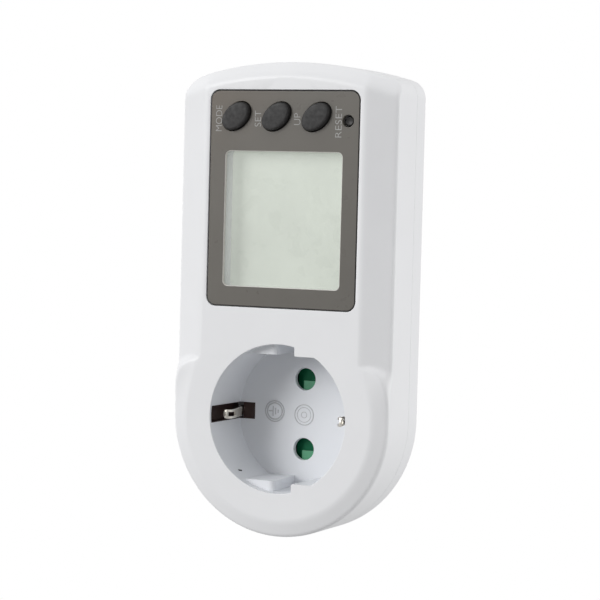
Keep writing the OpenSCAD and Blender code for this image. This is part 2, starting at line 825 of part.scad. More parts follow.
// dark insulating channel that closes the slot of an earth clip towards the inside
module clip_shroud() {
  color("saddlebrown") difference() {
    block(cup_r + 0.05, cup_r + 3, wall + 0.05, floor_back_d + 0.8, -3.5, 3.5);
    block(cup_r - 1, cup_r + 2.2, wall + 0.6, floor_back_d + 1, -2.7, 2.7);
  }
}

module clip_shroud_right() { clip_shroud(); }
module clip_shroud_left() { mirror([1, 0, 0]) clip_shroud(); }

// ---- fasteners and label ----

module screw(x, z, head_d, head_h, head_r, tip_d, r) {
  peg(x, z, head_d, head_d + head_h, head_r);
  peg(x, z, min(head_d, tip_d), max(head_d, tip_d), r);
}

module casing_screws() {
  color("silver") both_sides() for (p = screw_at) difference() {
    screw(p.x, p.y, screw_seat_d, 1.8, 2.7, 8, screw_r);
    slab(screw_seat_d + 0.9, body_d) translate(p) for (a = [0, 90]) rotate(a) square([3.2, 0.7], center = true);
  }
}

module display_board_screws() {
  color("silver") both_sides() for (p = display_post_at) {
    peg(p.x, p.y, board_back_d, board_back_d + 0.9, small_head_r);
    peg(p.x, p.y, 6, board_back_d + eps, small_screw_r);
  }
}

module power_board_screws() {
  color("silver") both_sides() for (p = power_post_at) {
    peg(p.x, p.y, power_d - 0.9, power_d, small_head_r);
    peg(p.x, p.y, power_d - eps, inner_back_d + 0.5, small_screw_r);
  }
}

module rating_label() {
  color("silver") slab(body_d - 0.23, body_d - 0.05) translate([0, 56]) round_rect(34, 22, 1.5);
}

front_shell();
rear_shell();
display_bezel();
display_lens();
lcd_glass();
lcd_reflector();
lcd_holder();
zebra_strip_top();
zebra_strip_bottom();
display_board();
controller_chip();
timing_crystal();
backup_cell();
cell_clip();
keypad_base();
button_mode();
button_set();
button_up();
contact_pill_mode();
contact_pill_set();
contact_pill_up();
button_reset();
reset_switch();
power_board();
dropper_capacitor();
smoothing_capacitor();
surge_varistor();
fuse_link();
rectifier_diodes();
power_resistors();
shunt_resistor();
metering_chip();
board_link();
shutter();
shutter_spring();
contact_carrier();
contact_line();
contact_neutral();
plug_pin_line();
plug_pin_neutral();
line_feed_strap();
neutral_sense_wire();
earth_bridge();
socket_earth_clip_left();
socket_earth_clip_right();
plug_earth_contact_left();
plug_earth_contact_right();
clip_shroud_left();
clip_shroud_right();
casing_screws();
display_board_screws();
power_board_screws();
rating_label();
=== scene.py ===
# The looks of a plug-in power meter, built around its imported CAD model.
# Shapes are written in millimetres as (x, depth, z).
# Depth is counted from the flat front face towards the wall.
import json
from math import acos, asin, atan2, cos, degrees, hypot, pi, radians, sin, tan
import bmesh
import bpy
from mathutils import Matrix, Vector, geometry

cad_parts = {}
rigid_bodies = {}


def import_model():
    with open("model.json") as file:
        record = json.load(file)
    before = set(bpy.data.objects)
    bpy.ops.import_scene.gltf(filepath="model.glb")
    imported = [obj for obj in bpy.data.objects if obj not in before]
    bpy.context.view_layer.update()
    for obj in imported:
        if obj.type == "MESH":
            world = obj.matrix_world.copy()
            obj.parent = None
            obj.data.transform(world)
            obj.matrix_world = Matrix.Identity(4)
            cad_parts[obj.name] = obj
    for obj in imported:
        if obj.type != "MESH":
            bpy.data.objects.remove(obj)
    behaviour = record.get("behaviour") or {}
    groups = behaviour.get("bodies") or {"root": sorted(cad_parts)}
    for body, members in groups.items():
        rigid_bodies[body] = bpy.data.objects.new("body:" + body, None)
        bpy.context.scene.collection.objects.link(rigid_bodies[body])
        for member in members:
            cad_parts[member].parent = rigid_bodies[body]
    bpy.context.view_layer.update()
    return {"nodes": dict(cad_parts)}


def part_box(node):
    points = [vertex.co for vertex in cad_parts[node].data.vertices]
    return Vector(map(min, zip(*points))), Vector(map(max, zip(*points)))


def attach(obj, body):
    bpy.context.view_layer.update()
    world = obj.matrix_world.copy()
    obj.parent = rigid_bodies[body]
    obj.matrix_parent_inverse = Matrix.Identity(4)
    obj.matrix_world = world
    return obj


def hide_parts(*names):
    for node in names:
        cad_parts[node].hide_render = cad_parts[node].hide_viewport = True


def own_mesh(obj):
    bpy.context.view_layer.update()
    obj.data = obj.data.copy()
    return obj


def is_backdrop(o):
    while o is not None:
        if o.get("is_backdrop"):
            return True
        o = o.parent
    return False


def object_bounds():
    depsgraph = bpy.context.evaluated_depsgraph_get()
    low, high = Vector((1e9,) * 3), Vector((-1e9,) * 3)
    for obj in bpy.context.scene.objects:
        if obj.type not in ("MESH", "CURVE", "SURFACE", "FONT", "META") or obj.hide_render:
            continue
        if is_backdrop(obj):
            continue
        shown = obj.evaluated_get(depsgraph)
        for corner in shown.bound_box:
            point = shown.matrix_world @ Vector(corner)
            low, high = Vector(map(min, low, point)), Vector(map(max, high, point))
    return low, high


for leftover in list(bpy.data.objects):
    bpy.data.objects.remove(leftover)
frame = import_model()

MM = 0.001
FRONT_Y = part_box("front_shell")[0].y


def span(node):
    """The (low, high) of a CAD node in x, depth and z."""
    low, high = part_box(node)
    return [(low.x / MM, high.x / MM), ((low.y - FRONT_Y) / MM, (high.y - FRONT_Y) / MM),
            (low.z / MM, high.z / MM)]


def size(pair):
    return pair[1] - pair[0]


def middle(pair):
    return (pair[0] + pair[1]) / 2


# ---- sizes of the body ----

SHELL_X, SHELL_Z = span("front_shell")[::2]
REAR_D = span("rear_shell")[1]
HALF_W = SHELL_X[1]
TOP = SHELL_Z[1]
PLUG_FACE = REAR_D[1]
BODY_D = PLUG_FACE - 17.5
SEAM = 15.0
WALL = 2.0
OUTER_STEP = 0.45
INNER_STEP = 2.5

ARC_R = 100.0
ARC_Z = TOP - ARC_R
CORNER_R = 5.0
CORNER_X = HALF_W - CORNER_R
CORNER_Z = ARC_Z + ((ARC_R - CORNER_R) ** 2 - CORNER_X ** 2) ** 0.5
SHOULDER_R = 1.0
REAR_EDGE_R = 1.6
SEAM_BEVEL = 0.1

FLAT_X = 23.3
SIDE_SLOPE = 3.0 / (HALF_W - FLAT_X)
TOP_BAND = 3.3
BOSS_FLAT_R = 27.3
BOSS_SLOPE = 1.5 / (HALF_W - BOSS_FLAT_R)
BOSS_EDGE_R = 31.9
BOSS_TOP_Z = 14.6
BOSS_FADE_Z = (1.0, 13.0)
BOSS_SIDE_SLOPE = 1.2
BOSS_FADE = 0.8
BOSS_END_R = 3
BOSS_END_CREASE = 0.4
SIDE_CREASE = 0.8
TOP_CREASE = 1.4
BOTTOM_CREASE = 3.0
VALLEY = 0.8

# ---- sizes of the socket recess and its slots ----

RIM_R = 19.74
FLOOR_R = 19.53
RECESS_D = 17.5
FLOOR_BACK = 19.0
FLOOR_ROUND = 0.1
CUP_R = RIM_R + 1.46
RIM_ROUND = 0.15
PIN_Z = 9.5
PIN_HOLE_R = 3.0
PIN_HOLE_MOUTH = 0.22
GUIDE_FLAT = 16.8
GUIDE_RIGHT_X = 4.7
GUIDE_LEFT_X = -1.6
GUIDE_LEFT_D = 3.0
GUIDE_REACH = 30
SLOT_X = 15.0
SLOT_HALF_H = 2.1
SLOT_D = 0.9
SLOT_OVER = 0.02
SLOT_PLAY = 0.15
LINER_BACK = 20.4
LINER_WALL = 0.14
LINER_FLOOR = 0.2
CLIP_FOOT = (16.8, 18.7, LINER_BACK - 1, LINER_BACK + 1, 1.6)
PLATE_LAP = 0.1
PLATE = (SLOT_X - PLATE_LAP, 18.35, RECESS_D + 0.05, RECESS_D + 0.5, SLOT_HALF_H + PLATE_LAP)

# ---- sizes of the display and the keys ----

BEZEL_X, BEZEL_D, BEZEL_Z = span("display_bezel")
LENS_X, LENS_D, LENS_Z = span("display_lens")
LENS_LAP = 2.0
WINDOW_W = size(LENS_X) - 2 * LENS_LAP
WINDOW_H = size(LENS_Z) - 2 * LENS_LAP
WINDOW_Z = middle(LENS_Z)
BEZEL_R = 2.5
WINDOW_R = 1.3
WINDOW_MOUTH = 0.14
BEZEL_ROUND = 0.28
GAP = 0.2
TRAY_D = BEZEL_D[1] + 0.05
TRAY_MOUTH = 0.12
TRAY_BACK = 3.2
TRAY_WALL = 3
WELL_BACK = 5.1
LENS_PLAY = 0.02

# Faces of the bezel that get another colour: how near an edge, and how far they may face the front. The
# outer edge gets painted shade, a near-black band for the shade in the gap around the panel, with less of it
# on the left side, which faces the light; the window's edge gets a painted highlight, a pale band for its
# lit cut edge.
BORDER = 0.32
BORDER_FACING = -0.985
LEFT_BORDER_FACING = -0.75
LEFT_NORMAL = -0.3
WINDOW_FACING = -0.999
WINDOW_LAP = 0.3

KEYS = {"mode": "button_mode", "set": "button_set", "up": "button_up"}
KEY_A = 4.45
KEY_B = 3.05
KEY_TILT = 40.0
KEY_GAP = 0.25
KEY_HOLE_GAP = 0.3
KEY_MOUTH = 0.16
KEY_CROWN = ((2.7, 0), (1.7, 0.015), (1.0, 0.04))
KEY_CROWN_D = 0.06
KEY_ROUND = 0.62
KEY_NECK = (3.5, 2.5)
FLANGE_D = 3.5
FLANGE_T = 0.8
FLANGE_GROW = 1
KEY_FRONT = span("button_mode")[1][0]
RESET_X, RESET_D, RESET_Z = span("button_reset")
RESET_HOLE_R = 1.6
RESET_R = 1.2
RESET_ROUND = 0.28
RESET_DISH = ((0.25, 0.16), (0.7, 0.1), (0.9, 0))
RESET_FLANGE_R = 2.1

# ---- sizes of the plug, screws and label ----

PLUG_R = 18.5
PLUG_FLAT = 16.5
SCREWS = [(24.9, 81.2), (17.7, -17.7)]
FRONT_POST_R = 3.2
FRONT_POST_STARTS = (1.8, 3.2)
FRONT_POST_END = 15.9
FRONT_BORE_R = 1.45
FRONT_BORE_D = (7.5, 16.5)
REAR_POST_R = 3.6
REAR_POST_D = (16, BODY_D - 0.5)
REAR_BORE_R = 1.6
REAR_BORE_START = 15
SCREW_WELL_R = 3
SCREW_WELL_END = 18.5
SCREW_WELL_MOUTH = 0.3
LABEL_Z = span("rating_label")[2]
LABEL_WELL = (34.4, 22.4)
LABEL_WELL_R = 1.6
LABEL_WELL_DEPTH = 0.25
LABEL_WELL_MOUTH = 0.1
PLUG_EDGE_R = 0.9
HOLLOW_R = 15.7
HOLLOW_FLAT = 14.9
HOLLOW_END = PLUG_FACE - 2
PLUG_MOUTH_R = 16.6
PIN_DISH_R = 2.45
PIN_DISH_DEPTH = 0.3
PIN_DISH_MOUTH = 0.12
PIN_SEAT_R = 2.12
PIN_SEAT_DEPTH = 1.5
PIN_BORE_R = 1.52
STRIP_SLOT_HALF_H = 2.6

# ---- sizes of the clips, strips and shutter ----
# Paths are (x, depth) pairs. A cut is (inner x, outer x, front, back, half height).

CLIP_PATH = [(17.35, 20.9), (17.6, 20.2), (18.9, 18.6), (19.3, 16.8), (17.2, 13.6),
             (15.75, 6.6), (15.7, 4.8), (16.5, 4.0), (17.5, 4.05), (18.0, 4.9)]
STRIP_T = 0.5
CLIP_HALF_H = 1.2
CLIP_BEND_R = 0.9
CLIP_WINDOW = (14.9, 16.4, 3.4, 7.2, 0.6)
CLIP_NOTCH = (16.95, 17.5, 3.4, 4.7, 0.45)
CLIP_TIP_X = 16.6
CLIP_TIP = (CLIP_TIP_X, 19, 3, 6, 1.6)
PLUG_STRIP_PATH = [(17.4, 22.55), (17.45, 24), (18.2, 26.4), (18.6, 29), (18.45, 32), (17.95, 35.2)]
PLUG_STRIP_HALF_H = 2.1
PLUG_STRIP_BEND_R = 1.5
GATE_SLOPE_HALF_H = 3.3
GATE_SLOPE_D = (1.2, 0.4)
FACET_X = -1.3
FACET_D = (0.2, 0.05)
FACET_FOOT = 1.3
FACET_Z = (-3.2, -0.5)
FACET_ROUND = 0.12
SPRING_WIRE = 0.13
SPRING_TURNS = 8

# ---- print and marks ----

PRINT_T = 0.015
PRINTS = [("mode", "MODE", -19.2, 79.0, 6.8), ("set", "SET", -7.7, 79.0, 4.2),
          ("up", "UP", 3.75, 79.0, 3.1), ("reset", "RESET", 15.6, 78.4, 8.1)]
PRINT_H = 1.8
PRINT_THIN = -0.012
PRINT_SINK = 0.005
EARTH_MARK = (-8.9, 0.3)
EARTH_RINGS = (2.8, 2.2)
EARTH_RING_T = 0.17
EARTH_STEM = (-1.8, -0.5)
EARTH_BARS = ((-0.5, 1.35), (0.25, 0.9), (1.0, 0.45))
EARTH_BAR_T = 0.16
PLAIN_MARK = (-0.1, -0.2)
PLAIN_RINGS = ((2.75, 0.14), (2.0, 0.09), (0.8, 0.09))
# A small dark speck on the recess wall.
SPECK_PATH = [(-12.95, 4.3, -14.87), (-12.65, 5.5, -15.1)]
SPECK_T = 0.25

# ---- light and camera ----

FLOOR_GLOW = 1.0
FLOOR_HALF = 6.0
FLOOR_DROP = 0.0005
AMBIENT = 0.672
AMBIENT_BELOW = 0.78
AMBIENT_ABOVE = 1.27
LIGHTS = [("main", -38, 18, 1.79, 32), ("right", 112, 6, 1.05, 40)]
LENS_LENGTH = 136.57
SENSOR_WIDTH = 36
CAMERA_CLIP = (0.01, 50)
CAMERA_AT = (257.694, -578.837, 59.513)
CAMERA_FORWARD = (-0.4225, 0.9052, -0.0466)
CAMERA_UP = (-0.0433, 0.0312, 0.9986)


# ---- outlines, as lists of (x, z) ----

def arc(cx, cz, r, start, end, n):
    """Points along an arc, from start up to but without end, in degrees."""
    return [(cx + r * cos(radians(start + (end - start) * i / n)),
             cz + r * sin(radians(start + (end - start) * i / n))) for i in range(n)]


def circle(r, cx=0.0, cz=0.0, n=96):
    return arc(cx, cz, r, 0, 360, n)


def round_rect(w, h, r, cx=0.0, cz=0.0, n=10):
    corners = [(1, 1, 0), (-1, 1, 90), (-1, -1, 180), (1, -1, 270)]
    points = []
    for sx, sz, start in corners:
        centre = cx + sx * (w / 2 - r), cz + sz * (h / 2 - r)
        points += arc(*centre, r, start, start + 90 * (n + 1) / n, n + 1)
    return points


def oval(a, b, cx, cz, n=72):
    ct, st = cos(radians(KEY_TILT)), sin(radians(KEY_TILT))
    return [(cx + a * x * ct - b * z * st, cz + a * x * st + b * z * ct)
            for x, z in arc(0, 0, 1, 0, 360, n)]


def at(loop, d):
    return [(x, d, z) for x, z in loop]


def body_frame():
    """Points of the body's outline with their outward normals, counter-clockwise from the left."""
    lean = degrees(atan2(CORNER_Z - ARC_Z, CORNER_X))
    rows = [(x * HALF_W, max(z * HALF_W, SHELL_Z[0]), x, z) for x, z in arc(0, 0, 1, 180, 360, 120)]
    steps = 70
    rows += [(HALF_W, CORNER_Z * i / steps, 1, 0) for i in range(steps)]
    rows += [(CORNER_X + CORNER_R * x, CORNER_Z + CORNER_R * z, x, z)
             for x, z in arc(0, 0, 1, 0, lean, 12)]
    rows += [(ARC_R * x, ARC_Z + ARC_R * z, x, z) for x, z in arc(0, 0, 1, lean, 180 - lean, 56)]
    rows += [(CORNER_R * x - CORNER_X, CORNER_Z + CORNER_R * z, x, z)
             for x, z in arc(0, 0, 1, 180 - lean, 180, 12)]
    rows += [(-HALF_W, CORNER_Z * (1 - i / steps), -1, 0) for i in range(steps)]
    return rows


BODY = body_frame()


def outline(inset):
    return [(x - nx * inset, z - nz * inset) for x, z, nx, nz in BODY]


def edge_distance(x, z):
    """How far a point of the front view lies inside the body's outline."""
    if z < 0:
        return HALF_W - hypot(x, z)
    if abs(x) > CORNER_X and z > CORNER_Z:
        return CORNER_R - hypot(abs(x) - CORNER_X, z - CORNER_Z)
    return min(HALF_W - abs(x), ARC_R - hypot(x, z - ARC_Z))


# ---- solids ----

def make(name, points, faces):
    mesh = bpy.data.meshes.new(name)
    mesh.from_pydata([(x * MM, FRONT_Y + d * MM, z * MM) for x, d, z in points], [], faces)
    solid = bmesh.new()
    solid.from_mesh(mesh)
    bmesh.ops.recalc_face_normals(solid, faces=solid.faces)
    solid.to_mesh(mesh)
    solid.free()
    piece = bpy.data.objects.new(name, mesh)
    bpy.context.scene.collection.objects.link(piece)
    return piece


def skin(rings):
    """The points of rings of one length, and the faces between each ring and the next."""
    n = len(rings[0])
    points = [p for ring in rings for p in ring]
    faces = [(i * n + j, i * n + (j + 1) % n, (i + 1) * n + (j + 1) % n, (i + 1) * n + j)
             for i in range(len(rings) - 1) for j in range(n)]
    return points, faces


def loft(name, rings):
    """A closed solid through rings of (x, depth, z) points, all of one length."""
    points, faces = skin(rings)
    n = len(rings[0])
    last = (len(rings) - 1) * n
    faces += [tuple(range(n))[::-1], tuple(last + j for j in range(n))]
    return make(name, points, faces)


def prism(loop, d0, d1, name="tool"):
    return loft(name, [at(loop, d0), at(loop, d1)])


def lathe(profile, cx=0.0, cz=0.0, n=128, name="tool"):
    """A solid turned about the depth direction from (radius, depth) pairs."""
    return loft(name, [at(circle(r, cx, cz, n), d) for r, d in profile])


def block(x0, x1, d0, d1, z0, z1, name="tool"):
    return prism([(x0, z0), (x1, z0), (x1, z1), (x0, z1)], d0, d1, name)


def side_block(side, x0, x1, d0, d1, half_h):
    """A block to one side of the middle, from x0 outwards to x1, as far above z = 0 as below."""
    return block(*sorted((side * x0, side * x1)), d0, d1, -half_h, half_h)


def course(loop, z0, z1, name="tool"):
    """A solid that stands between two heights on an (x, depth) outline."""
    return loft(name, [[(x, d, z) for x, d in loop] for z in (z0, z1)])


def rounding(r, n=5):
    """(inset, depth) pairs of a rounded edge, from the face it starts on to the wall it ends on."""
    return [(r * (1 - sin(radians(90 * i / n))), r * (1 - cos(radians(90 * i / n)))) for i in range(n + 1)]


def drop(piece):
    mesh = piece.data
    bpy.data.objects.remove(piece)
    bpy.data.meshes.remove(mesh)


def bake(piece):
    """Applies the modifiers of a piece to its mesh."""
    graph = bpy.context.evaluated_depsgraph_get()
    mesh = bpy.data.meshes.new_from_object(piece.evaluated_get(graph))
    old = piece.data
    piece.modifiers.clear()
    piece.data = mesh
    bpy.data.meshes.remove(old)
    return piece


def boolean(piece, operation, tools):
    for tool in tools:
        step = piece.modifiers.new("boolean", "BOOLEAN")
        step.operation = operation
        step.solver = "MANIFOLD"
        step.object = tool
        bake(piece)
        drop(tool)
    return piece


def join(piece, *tools):
    return boolean(piece, "UNION", tools)


def cut(piece, *tools):
    return boolean(piece, "DIFFERENCE", tools)


def bevel(piece, width, segments=3, angle=50):
    step = piece.modifiers.new("bevel", "BEVEL")
    step.width = width * MM
    step.segments = segments
    step.limit_method = "ANGLE"
    step.angle_limit = radians(angle)
    return bake(piece)


def smooth(piece, angle=32):
    """Merges stray points, shades smooth with sharp edges kept, and weights the normals by face area."""
    solid = bmesh.new()
    solid.from_mesh(piece.data)
    bmesh.ops.remove_doubles(solid, verts=solid.verts, dist=0.004 * MM)
    bmesh.ops.dissolve_degenerate(solid, edges=solid.edges, dist=0.002 * MM)
    for face in solid.faces:
        face.smooth = True
    solid.to_mesh(piece.data)
    solid.free()
    piece.data.set_sharp_from_angle(angle=radians(angle))
    weighted = piece.modifiers.new("normals", "WEIGHTED_NORMAL")
    weighted.keep_sharp = True
    return piece


def soften(path, r, n=6):
    """Rounds the inner corners of a path of 2-D points."""
    points = [Vector(path[0])]
    for a, b, c in zip(path, path[1:], path[2:]):
        a, b, c = Vector(a), Vector(b), Vector(c)
        u, v = (a - b).normalized(), (c - b).normalized()
        half = acos(max(-1, min(1, u.dot(v)))) / 2
        reach = min(r / tan(half), (a - b).length * 0.45, (c - b).length * 0.45)
        p, q = b + u * reach, b + v * reach
        for i in range(n + 1):
            s = i / n
            points.append(p * (1 - s) ** 2 + b * 2 * s * (1 - s) + q * s * s)
    points.append(Vector(path[-1]))
    return points


def ribbon(name, path, thickness, half_h, side=1, bend_r=0.8, edge_r=0.12):
    """A bent strip of sheet metal along an (x, depth) path, mirrored to the left where side is -1."""
    centre = soften(path, bend_r)
    left, right = [], []
    for i, p in enumerate(centre):
        along = (centre[min(i + 1, len(centre) - 1)] - centre[max(i - 1, 0)]).normalized()
        across = Vector((-along.y, along.x)) * thickness / 2
        left.append(p + across)
        right.append(p - across)
    loop = [(side * p.x, p.y) for p in left + right[::-1]]
    return bevel(course(loop, -half_h, half_h, name), edge_r, 3, 50)


def rod(name, path, r, closed=False, sides=4):
    """A round rod along (x, depth, z) points."""
    curve = bpy.data.curves.new(name, "CURVE")
    curve.dimensions = "3D"
    line = curve.splines.new("POLY")
    line.points.add(len(path) - 1)
    for point, (x, d, z) in zip(line.points, path):
        point.co = (x * MM, FRONT_Y + d * MM, z * MM, 1)
    line.use_cyclic_u = closed
    curve.bevel_depth = r * MM
    curve.bevel_resolution = sides
    curve.use_fill_caps = True
    return meshed(name, curve)


def meshed(name, curve):
    """Turns a curve or a text into a mesh object."""
    shape = bpy.data.objects.new("shape", curve)
    bpy.context.scene.collection.objects.link(shape)
    mesh = bpy.data.meshes.new_from_object(shape.evaluated_get(bpy.context.evaluated_depsgraph_get()))
    mesh.name = name
    bpy.data.objects.remove(shape)
    bpy.data.curves.remove(curve)
    piece = bpy.data.objects.new(name, mesh)
    bpy.context.scene.collection.objects.link(piece)
    return piece


def merge(name, pieces):
    """One object that holds the meshes of several separate pieces."""
    both = bmesh.new()
    for piece in pieces:
        both.from_mesh(piece.data)
        drop(piece)
    mesh = bpy.data.meshes.new(name)
    both.to_mesh(mesh)
    both.free()
    whole = bpy.data.objects.new(name, mesh)
    bpy.context.scene.collection.objects.link(whole)
    return whole


# ---- materials ----

def principled(name, colour, rough, metallic=0.0):
    mat = bpy.data.materials.new(name)
    mat.use_nodes = True
    bsdf = mat.node_tree.nodes["Principled BSDF"]
    bsdf.inputs["Base Color"].default_value = (*colour, 1)
    bsdf.inputs["Roughness"].default_value = rough
    bsdf.inputs["Metallic"].default_value = metallic
    return mat, bsdf


def node(mat, kind, **values):
    made = mat.node_tree.nodes.new("ShaderNode" + kind)
    for key, value in values.items():
        if key in made.inputs:
            made.inputs[key].default_value = value
        else:
            setattr(made, key, value)
    return made


def link(mat, source, target):
    mat.node_tree.links.new(source, target)


def noise_of(mat, per_mm, detail=3.0, stretch=(1, 1, 1), rough=0.55):
    """A noise pattern with about per_mm features in a millimetre."""
    coords = node(mat, "TexCoord")
    mapping = node(mat, "Mapping")
    mapping.inputs["Scale"].default_value = [per_mm / MM * s for s in stretch]
    link(mat, coords.outputs["Object"], mapping.inputs["Vector"])
    texture = node(mat, "TexNoise", Scale=1.0, Detail=detail, Roughness=rough)
    link(mat, mapping.outputs["Vector"], texture.inputs["Vector"])
    return texture.outputs["Fac"]


def ramp(mat, source, *stops):
    """A colour ramp with (place, colour) stops."""
    made = node(mat, "ValToRGB")
    elements = made.color_ramp.elements
    while len(elements) < len(stops):
        elements.new(0.5)
    for element, (place, colour) in zip(elements, stops):
        element.position = place
        element.color = (*colour, 1)
    link(mat, source, made.inputs["Fac"])
    return made.outputs["Color"]


def shade(colour, factor):
    return tuple(min(1, c * factor) for c in colour)


def object_axes(mat):
    """The X, Y and Z of a point on the piece, in metres."""
    split = node(mat, "SeparateXYZ")
    link(mat, node(mat, "TexCoord").outputs["Object"], split.inputs["Vector"])
    return split.outputs


def mapped(mat, source, low, high, start=0.0, end=1.0):
    """From start to end as a value goes from low to high."""
    made = node(mat, "MapRange")
    made.inputs["From Min"].default_value = low
    made.inputs["From Max"].default_value = high
    made.inputs["To Min"].default_value = start
    made.inputs["To Max"].default_value = end
    link(mat, source, made.inputs["Value"])
    return made.outputs["Result"]


def multiplied(mat, a, b):
    mix = node(mat, "Mix", data_type="RGBA", blend_type="MULTIPLY")
    mix.inputs["Factor"].default_value = 1.0
    link(mat, a, mix.inputs["A"])
    link(mat, b, mix.inputs["B"])
    return mix.outputs["Result"]


def vary_colour(mat, bsdf, colour, spread, per_mm, stretch=(1, 1, 1)):
    fac = noise_of(mat, per_mm, 4, stretch)
    tones = ramp(mat, fac, (0.3, shade(colour, 1 - spread)), (0.7, shade(colour, 1 + spread)))
    link(mat, tones, bsdf.inputs["Base Color"])
    return tones


def vary_rough(mat, bsdf, low, high, per_mm, stretch=(1, 1, 1)):
    spread = mapped(mat, noise_of(mat, per_mm, 3, stretch), 0.3, 0.7, low, high)
    link(mat, spread, bsdf.inputs["Roughness"])


def grain(mat, bsdf, per_mm, height_mm, stretch=(1, 1, 1), edge_mm=0.0):
    """A fine bump, over edges that catch the light as if rounded by edge_mm."""
    bump = node(mat, "Bump", Strength=1.0, Distance=height_mm * MM)
    link(mat, noise_of(mat, per_mm, 2, stretch), bump.inputs["Height"])
    if edge_mm:
        edge = node(mat, "Bevel", samples=4, Radius=edge_mm * MM)
        link(mat, edge.outputs["Normal"], bump.inputs["Normal"])
    link(mat, bump.outputs["Normal"], bsdf.inputs["Normal"])


def moulded(name, colour, rough, spread=0.03, per_mm=0.08, grain_mm=0.002, grain_per_mm=3.0,
            edge_mm=0.0, gloss=0.5):
    """Moulded plastic: a faint mottle, uneven gloss and a fine grain."""
    mat, bsdf = principled(name, colour, rough)
    bsdf.inputs["Specular IOR Level"].default_value = gloss
    vary_colour(mat, bsdf, colour, spread, per_mm)
    vary_rough(mat, bsdf, rough - 0.05, rough + 0.05, 0.3)
    grain(mat, bsdf, grain_per_mm, grain_mm, edge_mm=edge_mm)
    return mat


def plated(name, colour, rough, stretch=(1, 1, 8), edge_mm=0.0, grain_mm=0.003):
    """Plated or plain metal with fine rolling marks."""
    mat, bsdf = principled(name, colour, rough, 1.0)
    vary_colour(mat, bsdf, colour, 0.10, 0.5)
    vary_rough(mat, bsdf, rough - 0.08, rough + 0.10, 0.7, stretch)
    grain(mat, bsdf, 2.0, grain_mm, stretch, edge_mm)
    return mat


def white_plastic(name, colour):
    mat, bsdf = principled(name, colour, 0.36)
    vary_colour(mat, bsdf, colour, 0.012, 0.05)
    vary_rough(mat, bsdf, 0.32, 0.42, 0.15)
    grain(mat, bsdf, 1.6, 0.0022, edge_mm=0.14)
    return mat


def bezel_plastic():
    """Tinted panel: satin grey-brown, with a painted reflection that makes it browner towards its top left
    corner.
    """
    mat, bsdf = principled("bezel_plastic", (0.14, 0.13, 0.12), 0.22)
    axes = object_axes(mat)
    reflection_leftward = node(mat, "Math", operation="MULTIPLY")
    reflection_leftward.inputs[1].default_value = -0.7
    link(mat, axes["X"], reflection_leftward.inputs[0])
    lean = node(mat, "Math", operation="MULTIPLY_ADD")
    lean.inputs[1].default_value = 0.9
    link(mat, axes["Z"], lean.inputs[0])
    link(mat, reflection_leftward.outputs["Value"], lean.inputs[2])
    # Painted reflection: the panel turns lighter and then browner towards its top left corner.
    tones = ramp(mat, mapped(mat, lean.outputs["Value"], 0.02, 0.095), (0.0, (0.142, 0.134, 0.120)),
                 (0.7, (0.150, 0.140, 0.124)), (1.0, (0.150, 0.128, 0.104)))
    mottle = ramp(mat, noise_of(mat, 0.12, 5), (0.35, (0.96, 0.96, 0.96)), (0.65, (1.0, 1.0, 1.0)))
    link(mat, multiplied(mat, tones, mottle), bsdf.inputs["Base Color"])
    bsdf.inputs["Specular IOR Level"].default_value = 0.32
    vary_rough(mat, bsdf, 0.27, 0.31, 0.25)
    grain(mat, bsdf, 0.8, 0.0006)
    return mat


def key_rubber():
    """Matte rubber with a sprinkle of pale dust in its grain."""
    mat, bsdf = principled("key_rubber", (0.06, 0.058, 0.058), 0.62)
    base = ramp(mat, noise_of(mat, 1.2, 4), (0.35, (0.0165, 0.016, 0.016)), (0.65, (0.028, 0.027, 0.027)))
    dust = ramp(mat, noise_of(mat, 3.4, 2, rough=0.8), (0.70, (0, 0, 0)), (0.78, (1, 1, 1)))
    mix = node(mat, "Mix", data_type="RGBA", blend_type="MIX")
    link(mat, dust, mix.inputs["Factor"])
    link(mat, base, mix.inputs["A"])
    mix.inputs["B"].default_value = (0.13, 0.13, 0.125, 1)
    link(mat, mix.outputs["Result"], bsdf.inputs["Base Color"])
    vary_rough(mat, bsdf, 0.5, 0.72, 1.0)
    grain(mat, bsdf, 3.0, 0.012)
    return mat


def display_glass():
    """Pale grey-green display with faint smudges, painted shade that makes it a little darker towards its
    bottom, and a painted glow that lifts the shade in its well.
    """
    mat, bsdf = principled("display_glass", (0.64, 0.68, 0.60), 0.30)
    cloud = ramp(mat, noise_of(mat, 0.055, 5, (1, 1, 0.8), 0.6), (0.35, (0.405, 0.435, 0.385)),
                 (0.65, (0.445, 0.478, 0.423)))
    bottom, top = (WINDOW_Z - WINDOW_H / 2) * MM, (WINDOW_Z + WINDOW_H / 2) * MM
    height = mapped(mat, object_axes(mat)["Z"], bottom, top)
    # Painted shade: darker towards the bottom of the display.
    fall = ramp(mat, height, (0.0, (0.87, 0.87, 0.87)), (0.9, (1.0, 1.0, 1.0)))
    tones = multiplied(mat, cloud, fall)
    link(mat, tones, bsdf.inputs["Base Color"])
    # Painted light: the display glows with its own colour, though it is no lamp, to lift the shade in its
    # well.
    link(mat, tones, bsdf.inputs["Emission Color"])
    bsdf.inputs["Emission Strength"].default_value = 0.66
    vary_rough(mat, bsdf, 0.22, 0.38, 0.2)
    grain(mat, bsdf, 0.5, 0.0008)
    return mat


def clear_window():
    """Thin clear window: it lets the light through and keeps a little gloss."""
    mat, bsdf = principled("clear_window", (0.9, 0.92, 0.9), 0.06)
    bsdf.inputs["Alpha"].default_value = 0.10
    vary_rough(mat, bsdf, 0.04, 0.12, 0.1)
    grain(mat, bsdf, 0.2, 0.0005)
    return mat


